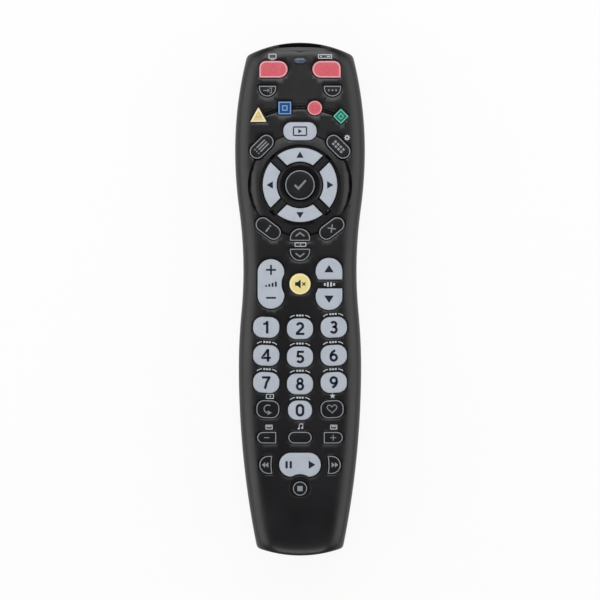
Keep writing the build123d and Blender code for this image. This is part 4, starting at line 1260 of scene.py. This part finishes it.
@dataclass
class Front:
    """The front of the case: a crowned shell with an opening for each key.

    Its height is the full height less a quarter-ellipse down to each side, another down to
    each end, and the sunk forms of the pad, the trench, the status light and the stop key.
    """

    palm: Spot = (28.1, 64.3)  # half width and Y of the outline's three stations
    waist: Spot = (24.5, 12.4)
    grip: Spot = (26.5, -29.2)
    head: Spot = (22.9, 105.3)  # corner where a side meets the end's arc
    tail: Spot = (18.6, -107.6)
    half_length: float = 111.0
    palm_share: float = 0.49  # where the arcs turn over, as a share of the way to the waist
    grip_share: float = 0.56
    corner: float = 0.9
    outline_step: float = 0.8
    height: float = FRONT_Z
    parting: float = 13.0
    shoulder: Pair = (9.5, 5.5)  # width and fall of an edge
    head_edge: Pair = (6.5, 2.4)
    tail_edge: Pair = (9.0, 2.2)
    flank: Triple = (9.0, 15.0, 0.9)  # start, reach and fall of the crown
    side_leans: tuple[int, ...] = (8, 16, 24, 32, 40, 48, 56, 64, 72, 79, 85)  # degrees
    end_leans: tuple[int, ...] = (10, 25, 40, 53, 64, 74, 83)
    side_stop: float = 0.6  # how far short of the corners the edges' rows end
    end_stop: float = 0.5
    edge_room: float = 0.4  # that loose points keep from the edges' rows
    thin: float = 0.85  # wall at the sides, and on the level
    thick: float = 2.2
    level_inset: Pair = (3.0, 5.0)  # how far in the wall turns from the normal to straight down
    window_half: float = 15.88
    window_rim: Pair = (142.0, 109.02)  # radius and Y of the case's edge behind the window
    window_least: float = 0.5
    window_gap: float = 0.08
    window_foot: float = 8.5
    window_row: float = 0.1  # share of its width at which a row of points follows its edge
    pad_y: float = PAD_Y
    wall: float = 0.14  # width of a sunk form's steep wall
    channel: Triple = (9.6, 17.6, 1.9)  # two radii and a depth
    web: Triple = (1.5, 1.3, 16.6)  # half width, height and outer end
    web_row: Pair = (9.9, 16.5)
    bowl: tuple[float, float, float, float] = (7.0, 9.5, 1.9, 0.8)  # two radii, depth, lip's depth
    disc_fall: float = 0.6
    disc_lean: Pair = (0.6, 1.4)  # share of the fall everywhere, and what is added at the sides
    disc_power: float = 1.5
    groove: Triple = (21.8, 22.6, 0.3)
    form_rows: tuple[float, ...] = (7.8, 8.5, 13.1, 18.7, 19.7, 20.8)
    slope_y: float = 33.5  # where the disc's lower part starts to slope, by degrees
    slope: float = 8.0
    trench: tuple[float, float, float, float] = (44.05, 39.0, 2.3, 1.1)  # Y, radius, width, depth
    trench_half: float = 17.5
    light: Spot = (0.0, 103.3)
    light_size: Triple = (4.9, 2.2, 1.1)
    light_step: float = 0.25
    light_rows: tuple[float, ...] = (0.25, 0.55, 0.85)
    light_dish: Triple = (0.3, 0.35, 0.6)  # depth, and where it rises again
    light_room: Pair = (5.0, 4.0)
    light_gap: float = 0.1
    light_sunk: float = 0.35
    light_dome: Pair = (0.3, 1.1)  # height and width of the dome's rise
    light_foot: float = 23.9
    stop_y: float = STOP_Y
    stop_dish: Triple = (4.9, 0.5, 0.4)  # radius, width of its rise, depth
    lip: Pair = (0.28, 0.14)  # width and fall of the front round an opening
    grid_low: Spot = (-27.0, -109.0)
    grid_high: Spot = (28.0, 110.0)
    step: float = 2.0
    hole_room: float = 0.7  # that they keep from an opening
    row_inset: float = 0.012
    seam: float = 0.35
    # Each ring of the skirt: its share of the way down, and the share of the seam it is drawn in
    skirt: tuple[Pair, ...] = ((0.25, 0.0), (0.5, 0.0), (0.75, 0.0), (0.96, 0.0), (1.0, 1.0))

    def side(self, y: np.ndarray) -> np.ndarray:
        """Half width of the outline at y.

        Every station has a vertical tangent, so each arc is x = xs + s (R - sqrt(R^2 - (y -
        ys)^2)), with R from the point that the arc has to meet.

        Args:
            y: places along the case.
        Returns:
            The half width at each.
        """
        palm, waist, grip = (np.array(p) for p in (self.palm, self.waist, self.grip))
        upper = palm + (waist - palm) * self.palm_share
        lower = grip + (waist - grip) * self.grip_share
        spans = [(grip, self.tail), (grip, lower), (waist, lower), (waist, upper), (palm, upper),
                 (palm, self.head)]
        ends = (grip[1], lower[1], waist[1], upper[1], palm[1])
        arcs = []
        for start, end in spans:
            dx, dy = end[0] - start[0], end[1] - start[1]
            radius = (dx**2 + dy**2) / (2 * abs(dx))
            fall = radius - np.sqrt(np.maximum(radius**2 - (y - start[1]) ** 2, 0))
            arcs.append(start[0] + math.copysign(1, dx) * fall)
        return np.select([y < limit for limit in ends] + [y >= ends[-1]], arcs)

    def end(self, x: np.ndarray, corner: Spot) -> np.ndarray:
        """How far from the middle the arc of head or tail is at x.

        The arc passes through the corner and the end of the length, so with its drop d at the
        corner's x its radius is (x^2 + d^2) / (2 d).

        Args:
            x: places across the case; corner: where the arc meets the side.
        Returns:
            The distance at each.
        """
        drop = self.half_length - abs(corner[1])
        radius = (corner[0] ** 2 + drop**2) / (2 * drop)
        return self.half_length - radius + np.sqrt(np.maximum(radius**2 - x**2, 0))

    def rim_y(self, x: np.ndarray) -> np.ndarray:
        """Where the case ends behind the infrared window: an arc, or less where the head is near.

        Args:
            x: places across the case.
        Returns:
            Y of the case's end at each.
        """
        radius, top = self.window_rim
        arch = top - radius + np.sqrt(radius**2 - x**2)
        return np.minimum(arch, self.end(x, self.head) - self.window_least)

    def outline(self) -> np.ndarray:
        """The plan of the front, with the window's crescent cut away and its corners eased.

        Returns:
            The loop.
        """
        y = np.linspace(self.tail[1], self.head[1], 200)
        x = np.linspace(self.head[0], -self.head[0], 80)
        head = self.end(x, self.head)
        head = np.where(np.abs(x) < self.window_half, np.minimum(head, self.rim_y(x)), head)
        foot = np.linspace(-self.tail[0], self.tail[0], 60)
        loop = np.vstack([np.column_stack([self.side(y), y]), np.column_stack([x, head]),
                          np.column_stack([-self.side(y[::-1]), y[::-1]]),
                          np.column_stack([foot, -self.end(foot, self.tail)])])
        return evenly(loop, self.outline_step, self.corner)

    def form(self, xy: np.ndarray) -> np.ndarray:
        """Height of the plain crowned form, without anything sunk into it.

        It falls by a quarter-ellipse at each edge, and towards the sides by the crown's fall
        times the square of the share of its reach.

        Args:
            xy: points on the plan.
        Returns:
            The height at each.
        """
        x, y = np.abs(xy[:, 0]), xy[:, 1]
        start, reach, fall = self.flank
        z = self.height - quarter_round(self.side(y) - x, *self.shoulder)
        z = z - fall * np.maximum((x - start) / reach, 0) ** 2
        z = z - quarter_round(self.end(x, self.head) - y, *self.head_edge)
        return z - quarter_round(self.end(x, self.tail) + y, *self.tail_edge)

    def is_flat(self, xy: np.ndarray) -> np.ndarray:
        """Which points lie inside the rounded edges, where loose points don't crowd the rows.

        Args:
            xy: points on the plan.
        Returns:
            One truth value for each.
        """
        x, y = np.abs(xy[:, 0]), xy[:, 1]
        return ((self.side(y) - x > self.shoulder[0] + self.edge_room)
                & (self.end(x, self.head) - y > self.head_edge[0] + self.edge_room)
                & (self.end(x, self.tail) + y > self.tail_edge[0] + self.edge_room))

    def below(self, value: np.ndarray, high: float) -> np.ndarray:
        """One well below a value and zero above it, with a short steep wall just below it."""
        return np.clip((high - value) / self.wall, 0, 1)

    def band(self, value: np.ndarray, low: float, high: float) -> np.ndarray:
        """One between two values, with short steep walls inside them."""
        return np.clip((value - low) / self.wall, 0, 1) * self.below(value, high)

    def pad_depth(self, xy: np.ndarray) -> np.ndarray:
        """How deep the pad's forms are sunk: bowl, channel with its webs, disc and groove.

        The bowl eases from its depth to its lip's depth. The disc falls outwards by the share
        of its width to the power disc_power, times level + sideways (x / r)^2 at a radius r,
        and its lower part slopes away besides.

        Args:
            xy: points on the plan.
        Returns:
            The depth at each.
        """
        x, y = xy.T
        out = np.hypot(x, y - self.pad_y)
        inner, outer, deep = self.channel
        half, tall, web_end = self.web
        lean = (np.abs(x) - np.abs(y - self.pad_y)) / math.sqrt(2)
        webs = tall * self.band(lean, -half, half) * (out < web_end)
        near, far, bowl, bowl_lip = self.bowl
        start, stop, groove = self.groove
        share = np.clip((out - outer) / (start - outer), 0, 1)
        level, sideways = self.disc_lean
        fall = self.disc_fall * (level + sideways * (x / np.maximum(out, TINY)) ** 2)
        tilt = np.maximum(self.slope_y - y, 0) * math.tan(math.radians(self.slope))
        return ((deep - webs) * self.band(out, inner, outer)
                + (bowl - (bowl - bowl_lip) * smooth(out, near, far)) * self.below(out, inner)
                + (fall * share**self.disc_power + tilt) * self.below(out, stop)
                + groove * self.band(out, start, stop))

    def top(self, xy: np.ndarray) -> np.ndarray:
        """Height of the front with its sunk forms.

        The trench is a cosine squared across its width, along an arc over the pad.

        Args:
            xy: points on the plan.
        Returns:
            The height at each.
        """
        x, y = xy.T
        middle, radius, width, depth = self.trench
        off = np.clip((np.hypot(x, y - middle) - radius) / width, -0.5, 0.5)
        over = (np.abs(x) < self.trench_half) & (y > middle)
        edge, rise, dish = self.stop_dish
        stop = np.hypot(x, y - self.stop_y)
        sunk, near, far = self.light_dish
        return (self.form(xy) - self.pad_depth(xy) - depth * np.cos(np.pi * off) ** 2 * over
                - dish * (1 - smooth(stop, edge - rise, edge))
                - sunk * (1 - smooth(self.near_light(xy), near, far)))

    def near_light(self, xy: np.ndarray) -> np.ndarray:
        """Distance from the status light's oval, measured only close to it.

        Args:
            xy: points on the plan.
        Returns:
            The distance at each, and more than any that matters for points further off.
        """
        gap = np.abs(xy - self.light)
        near = (gap[:, 0] < self.light_room[0]) & (gap[:, 1] < self.light_room[1])
        far = np.full(len(xy), sum(self.light_room))
        far[near] = from_edge(xy[near], self.light_loop(0.0))
        return far

    def light_loop(self, grow: float) -> np.ndarray:
        """The oval of the status light.

        Args:
            grow: how much larger it is all round.
        Returns:
            The loop.
        """
        width, height, corner = self.light_size
        oval = block(width + 2 * grow, height + 2 * grow, corner + grow)
        return placed(evenly(oval, self.light_step), self.light)

    def edge_rows(self) -> list[np.ndarray]:
        """Lines along the rounded edges, at the leans of a quarter-round.

        Returns:
            Open rows of points.
        """
        lines = []
        y = np.linspace(self.tail[1] + self.side_stop, self.head[1] - self.side_stop, 150)
        tail_x, head_x = self.tail[0] - self.end_stop, self.head[0] - self.end_stop
        for lean in self.side_leans:
            depth = self.shoulder[0] * (1 - math.sin(math.radians(lean)))
            lines += [np.column_stack([s * (self.side(y) - depth), y]) for s in (-1, 1)]
        for lean in self.end_leans:
            share = 1 - math.sin(math.radians(lean))
            x = np.linspace(-tail_x, tail_x, 50)
            lines.append(np.column_stack([x, self.tail_edge[0] * share - self.end(x, self.tail)]))
            x = np.linspace(-head_x, head_x, 60)
            lines.append(np.column_stack([x, self.end(x, self.head) - self.head_edge[0] * share]))
        return lines

    def form_lines(self) -> list[np.ndarray]:
        """Lines round each sunk form: both ends of every steep wall, and some between them.

        Returns:
            Open rows of points.
        """
        wall, half = self.wall, self.web[0]
        inner, outer, _ = self.channel
        start, stop, _ = self.groove
        circles = (inner, outer, inner + wall, outer - wall, start, stop, start + wall, stop - wall,
                   *self.bowl[:2], *self.form_rows)
        lines = [arc(0, self.pad_y, radius, 0, 360, 120) for radius in circles]
        for turn in (45, 135, 225, 315):
            for off in (-half, half - wall, wall - half, half):
                line = np.column_stack([np.linspace(*self.web_row, 12), np.full(12, off)])
                lines.append(placed(line, (0, self.pad_y), turn))
        middle, radius, width, _ = self.trench
        lean = math.degrees(math.asin(self.trench_half / radius))
        lines += [arc(0, middle, radius + share * width, 90 - lean, 90 + lean, 60)
                  for share in np.linspace(-0.5, 0.5, 9)]
        reach = math.sqrt(stop**2 - (self.pad_y - self.slope_y) ** 2)
        lines.append(np.column_stack([np.linspace(-reach, reach, 20), np.full(20, self.slope_y)]))
        edge, rise, _ = self.stop_dish
        lines += [arc(0, self.stop_y, edge - off, 0, 360, 48) for off in (0, rise / 2, rise)]
        return lines + [closed(self.light_loop(grow)) for grow in self.light_dish[1:]]

    def sheet(self, board: KeyBoard, outline: np.ndarray) -> tuple[Mesh, np.ndarray]:
        """The crowned sheet with its openings, whose edges are eased down to a small lip.

        Args:
            board: the keys, whose outlines and gaps give the openings; outline: the plan.
        Returns:
            The sheet, and the sides of its triangles that lie on the outline.
        """
        holes = [grown(key.loop, key.gap) for key in board.keys] + [self.light_loop(self.light_gap)]
        width, fall = self.lip
        lips = [closed(grown(hole, width)) for hole in holes]
        grid = lattice(self.grid_low, self.grid_high, self.step)
        grid = grid[self.is_flat(grid)]
        for hole in holes:
            grid = grid[~within(grid, grown(hole, self.hole_room))]
        room = grown(outline, -self.row_inset)
        rows = [row[within(row, room)] for row in self.edge_rows() + self.form_lines()]

        def belongs(middle: np.ndarray) -> np.ndarray:
            """Inside the outline and outside every opening."""
            return within(middle, outline) & ~np.any([within(middle, hole) for hole in holes], axis=0)

        xy, tris = triangles([outline, *holes], rows + lips, grid, belongs)
        z = self.top(xy)
        sides = rim(tris)
        is_outer = from_edge((xy[sides[:, 0]] + xy[sides[:, 1]]) / 2, outline) < SHARP
        z[np.unique(sides[~is_outer])] -= fall
        return (np.column_stack([xy, z]), tris), sides[is_outer]

    def skirted(self, sheet: Mesh, sides: np.ndarray, outline: np.ndarray) -> Mesh:
        """The sheet with a skirt straight down from its outer sides to the parting line.

        Each ring of the skirt stands at a share of the way down, and the last one is drawn in
        by the seam, which leaves a small groove at the skirt's foot.

        Args:
            sheet: the crowned sheet; sides: its outer sides; outline: the plan.
        Returns:
            Points and triangles of the sheet with its skirt.
        """
        points, tris = sheet
        a, b = sides.T
        edge = np.unique(sides)
        xy, z = points[edge, :2], points[edge, 2]
        nearest = ((xy[:, None] - outline[None]) ** 2).sum(axis=2).argmin(axis=1)
        shift = (grown(outline, -self.seam) - outline)[nearest]
        last = np.arange(len(points))
        for share, draw in self.skirt:
            ring = np.column_stack([xy + shift * draw, z + (self.parting - z) * share])
            index = last.copy()
            index[edge] = len(points) + np.arange(len(edge))
            tris = np.vstack([tris, np.stack([last[a], index[a], index[b]], 1),
                              np.stack([last[a], index[b], last[b]], 1)])
            points = np.vstack([points, ring])
            last = index
        return points, tris

    def thickened(self, sheet: Mesh) -> Mesh:
        """The sheet as a closed shell, with an inner sheet moved in along the normals.

        A point's normal n is the sum of its triangles' normals by area, and the wall is thin +
        (thick - thin) nz^2. Well inside the outline, where the keys are, it goes straight down.

        Args:
            sheet: the outer sheet.
        Returns:
            Points and triangles of the shell.
        """
        points, tris = sheet
        corner = points[tris]
        lean = np.cross(corner[:, 1] - corner[:, 0], corner[:, 2] - corner[:, 0])
        normal = np.zeros_like(points)
        np.add.at(normal, tris.ravel(), np.repeat(lean, 3, axis=0))
        normal /= np.linalg.norm(normal, axis=1)[:, None]
        inside = smooth(self.side(points[:, 1]) - np.abs(points[:, 0]), *self.level_inset)[:, None]
        depth = self.thin + (self.thick - self.thin) * np.maximum(normal[:, 2], 0) ** 2
        down = normal * (1 - inside) + np.array([0, 0, 1.0]) * inside
        return sealed(points, points - down * depth[:, None], tris)

    def build(self, board: KeyBoard) -> None:
        """Makes the shell, the window and the status light.

        Args:
            board: the keys, whose outlines and gaps give the openings.
        """
        outline = self.outline()
        shell = self.thickened(self.skirted(*self.sheet(board, outline), outline))
        piece = new_piece("front_shell", shell, "remote", CASE, crease=38)
        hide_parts("top_case")
        self.build_window()
        self.build_light()

    def build_window(self) -> None:
        """Makes the infrared window: a crescent prism whose top follows the front's own form."""
        half = self.window_half - self.window_gap
        x = np.linspace(-half, half, 90)
        outer, rim_y = self.end(x, self.head), self.rim_y(x)
        back = np.column_stack([x, rim_y + self.window_gap])
        loop = np.vstack([back, np.column_stack([x, outer])[::-1]])
        row = np.column_stack([x, outer + (rim_y - outer) * self.window_row])[2:-2]
        flat = triangles([loop], [row], NO_POINTS, lambda p: within(p, loop))
        lens = raised(flat, self.form(flat[0]), self.window_foot)
        piece = new_piece("infrared_lens", lens, "remote", WINDOW, crease=35)
        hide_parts("ir_window")

    def build_light(self) -> None:
        """Makes the status light: an oval pipe with a low dome, a little below the front."""
        loop = self.light_loop(0.0)
        flat = filled([loop], np.vstack([grown(loop, -depth) for depth in self.light_rows]))
        rise, width = self.light_dome
        dome = rise * (1 - (1 - np.clip(from_edge(flat[0], loop) / width, 0, 1)) ** 2)
        pipe = raised(flat, self.height - self.light_sunk + dome, self.light_foot)
        piece = new_piece("status_light", pipe, "remote", LIGHT, crease=50)
        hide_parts("light_pipe")


@dataclass
class CasePrint:
    """Small pale signs printed on the case beside the keys, and the arcs over the figures."""

    front: Front
    board: KeyBoard
    arc_start: float = 2.2
    arc_reach: float = 4.3
    arc_foot: float = 4.85
    arc_top: float = 5.75
    zero_drop: float = 0.3
    line: float = 0.36
    dot_size: Pair = (0.8, 0.75)
    dot_pitch: float = 1.15
    film_lift: float = 0.025
    film_depth: float = 0.07
    signs: tuple[tuple[Sign, Spot], ...] = (
        (Sign.SCREEN, (-11.9, 105.1)), (Sign.BOX, (10.8, 105.0)), (Sign.GEAR, (20.4, 69.9)),
        (Sign.PAGE, (0.2, 23.6)), (Sign.AERIAL, (12.75, 6.35)), (Sign.BACK, (-13.0, -42.1)),
        (Sign.STAR, (14.1, -41.9)), (Sign.CALENDAR, (-13.4, -55.4)), (Sign.NOTE, (0.3, -55.3)),
        (Sign.CALENDAR, (14.6, -55.4)))

    def build(self) -> None:
        """Prints everything as one thin film that follows the front."""
        flats = []
        for sign, spot in self.signs:
            xy, tris = sign.flat()
            flats.append((placed(xy, spot), tris))
        for key in self.board.keys:
            if key.name.startswith("digit_") and key.name != "digit_1_key":
                flats += [(placed(xy, key.spot, key.turn), tris) for xy, tris in self.arcs(key)]
        film = stacked([draped(flat, self.front.top, self.film_lift, self.film_depth)
                        for flat in flats])
        new_piece("case_print", film, "remote", LIGHT_INK, crease=30)

    def arcs(self, key: Key) -> list[Flat]:
        """Two short arcs over a figure key with three dots between them.

        Along its share t of the reach, an arc falls by t^2 of the way from its top to its foot.

        Args:
            key: the figure key.
        Returns:
            Their triangles, about the key's middle before it is turned.
        """
        top = self.arc_top - (self.zero_drop if key.name == "digit_0_key" else 0.0)
        t = np.linspace(0, 1, 8)
        x = self.arc_start + (self.arc_reach - self.arc_start) * t
        right = stroke(np.column_stack([x, top - (self.arc_top - self.arc_foot) * t**2]), self.line)
        dots = [bar(n * self.dot_pitch, top, *self.dot_size) for n in (-1, 0, 1)]
        return [filled([loop]) for loop in (right, to_side(right, -1), *dots)]


@dataclass
class Carried:
    """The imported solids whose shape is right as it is, and the finish of each."""

    finishes: dict[str, Finish] = field(default_factory=lambda: {
        "bottom_case": CASE_BACK, "battery_door": CASE_BACK, "keypad_sheet": SILICONE,
        "circuit_board": BOARD, "control_chip": CHIP, "resonator": CERAMIC, "capacitor": SLEEVE,
        "status_led": LED, "ir_emitters": EMITTER, "battery_cells": CELL, "contact_springs": NICKEL,
        "contact_plates": NICKEL, "case_screws": ZINC})

    def dress(self) -> None:
        """Puts each finish in its node's material slots."""
        for name, finish in self.finishes.items():
            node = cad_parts[name]
            if not node.material_slots:
                node.data.materials.append(None)
            for slot in node.material_slots:
                slot.material = finish.material()
            LOG.info("%s: %s", name, finish.name)


@dataclass
class Studio:
    """Plain pale floor, soft lamps and a camera straight above, as in the photograph.

    A lamp is its name, its place and its width and height in metres, and its power in watts.
    """

    frame_mm: float = 259.65
    aim_y: float = -0.39
    camera_z: float = 0.25  # m
    lamps: tuple[tuple[str, Triple, Pair, float], ...] = (
        ("head_lamp", (0.0, 0.3, 0.45), (0.5, 0.25), 1.45),
        ("left_lamp", (-0.49, 0.0, 0.27), (0.8, 0.4), 1.95),
        ("right_lamp", (0.49, 0.0, 0.27), (0.8, 0.4), 1.7),
        ("tail_lamp", (0.0, -0.45, 0.4), (0.4, 0.15), 0.7))
    ambient: float = 0.09
    floor_half: float = 6.0  # m, and so is its height
    floor_z: float = -0.0003
    paper_mm: float = 16.67
    paper_tone: Pair = (0.88, 0.92)
    glow_share: float = 0.9

    def camera(self) -> None:
        """Sets the camera over the middle of the photograph's frame."""
        data = bpy.data.cameras.new("camera")
        data.type = "ORTHO"
        data.ortho_scale = self.frame_mm * MM
        camera = put("camera", data)
        camera.location = (0, self.aim_y * MM, self.camera_z)
        bpy.context.scene.camera = camera

    def light(self) -> None:
        """Hangs the lamps, each turned towards the middle of the remote."""
        for name, spot, size, power in self.lamps:
            data = bpy.data.lights.new(name, "AREA")
            data.shape = "RECTANGLE"
            data.size, data.size_y = size
            data.energy = power
            lamp = put(name, data)
            lamp.location = spot
            lamp.rotation_euler = Vector(spot).to_track_quat("Z", "Y").to_euler()

    def world(self) -> None:
        """Sets a dim plain world, so that little but the lamps shows in the glossy pieces."""
        world = bpy.data.worlds.new("studio")
        tree = bare_tree(world)
        dim = add_node(tree, "ShaderNodeBackground", {
            "Color": (1, 1, 1, 1), "Strength": self.ambient})
        add_node(tree, "ShaderNodeOutputWorld", {"Surface": dim.outputs[0]})
        bpy.context.scene.world = world

    def paper(self) -> bpy.types.Material:
        """Matt paper that looks white: camera, glossy and transmission rays meet mostly a glow.

        The other rays meet the paper itself, which keeps the remote's shadow soft and true.

        Returns:
            The floor's material.
        """
        paper = bpy.data.materials.new("matt_paper_floor")
        tree = bare_tree(paper)
        spot = add_node(tree, "ShaderNodeTexCoord").outputs["Object"]
        low, high = self.paper_tone
        grain = add_node(tree, "ShaderNodeTexNoise", {
            "Vector": spot, "Scale": 1 / (self.paper_mm * MM)})
        tone = add_node(tree, "ShaderNodeMapRange", {
            "Value": grain.outputs["Fac"], "To Min": low, "To Max": high})
        matt = add_node(tree, "ShaderNodeBsdfDiffuse", {"Color": tone.outputs["Result"]})
        glow = add_node(tree, "ShaderNodeEmission", {"Color": (1, 1, 1, 1), "Strength": 1.0})
        path = add_node(tree, "ShaderNodeLightPath")
        seen = path.outputs["Is Camera Ray"]
        for ray in ("Is Glossy Ray", "Is Transmission Ray"):
            seen = add_node(tree, "ShaderNodeMath", {0: seen, 1: path.outputs[ray]},
                            operation="ADD").outputs[0]
        share = add_node(tree, "ShaderNodeMath", {0: seen, 1: self.glow_share},
                         operation="MULTIPLY", use_clamp=True)
        mixed = add_node(tree, "ShaderNodeMixShader", {
            0: share.outputs[0], 1: matt.outputs[0], 2: glow.outputs[0]})
        add_node(tree, "ShaderNodeOutputMaterial", {"Surface": mixed.outputs[0]})
        return paper

    def floor(self) -> None:
        """Lays the paper just under the remote."""
        half, z = self.floor_half, self.floor_z
        corners = [(-half, -half, z), (half, -half, z), (half, half, z), (-half, half, z)]
        data = bpy.data.meshes.new("floor")
        data.from_pydata(corners, [], [(0, 1, 2, 3)])
        data.materials.append(self.paper())
        floor = put("floor", data)

    def build(self) -> None:
        """Sets up camera, lamps, world, floor and the plain view transform."""
        bpy.context.scene.view_settings.view_transform = "Standard"
        self.camera()
        self.light()
        self.world()
        self.floor()


def main() -> None:
    """Builds the sub-assemblies in order."""
    logging.basicConfig(level=logging.INFO, format="%(name)s %(message)s")
    Studio().build()
    board = KeyBoard()
    board.plan()
    front = Front()
    front.build(board)
    board.build()
    CasePrint(front, board).build()
    Carried().dress()


if __name__ == "__main__":
    main()
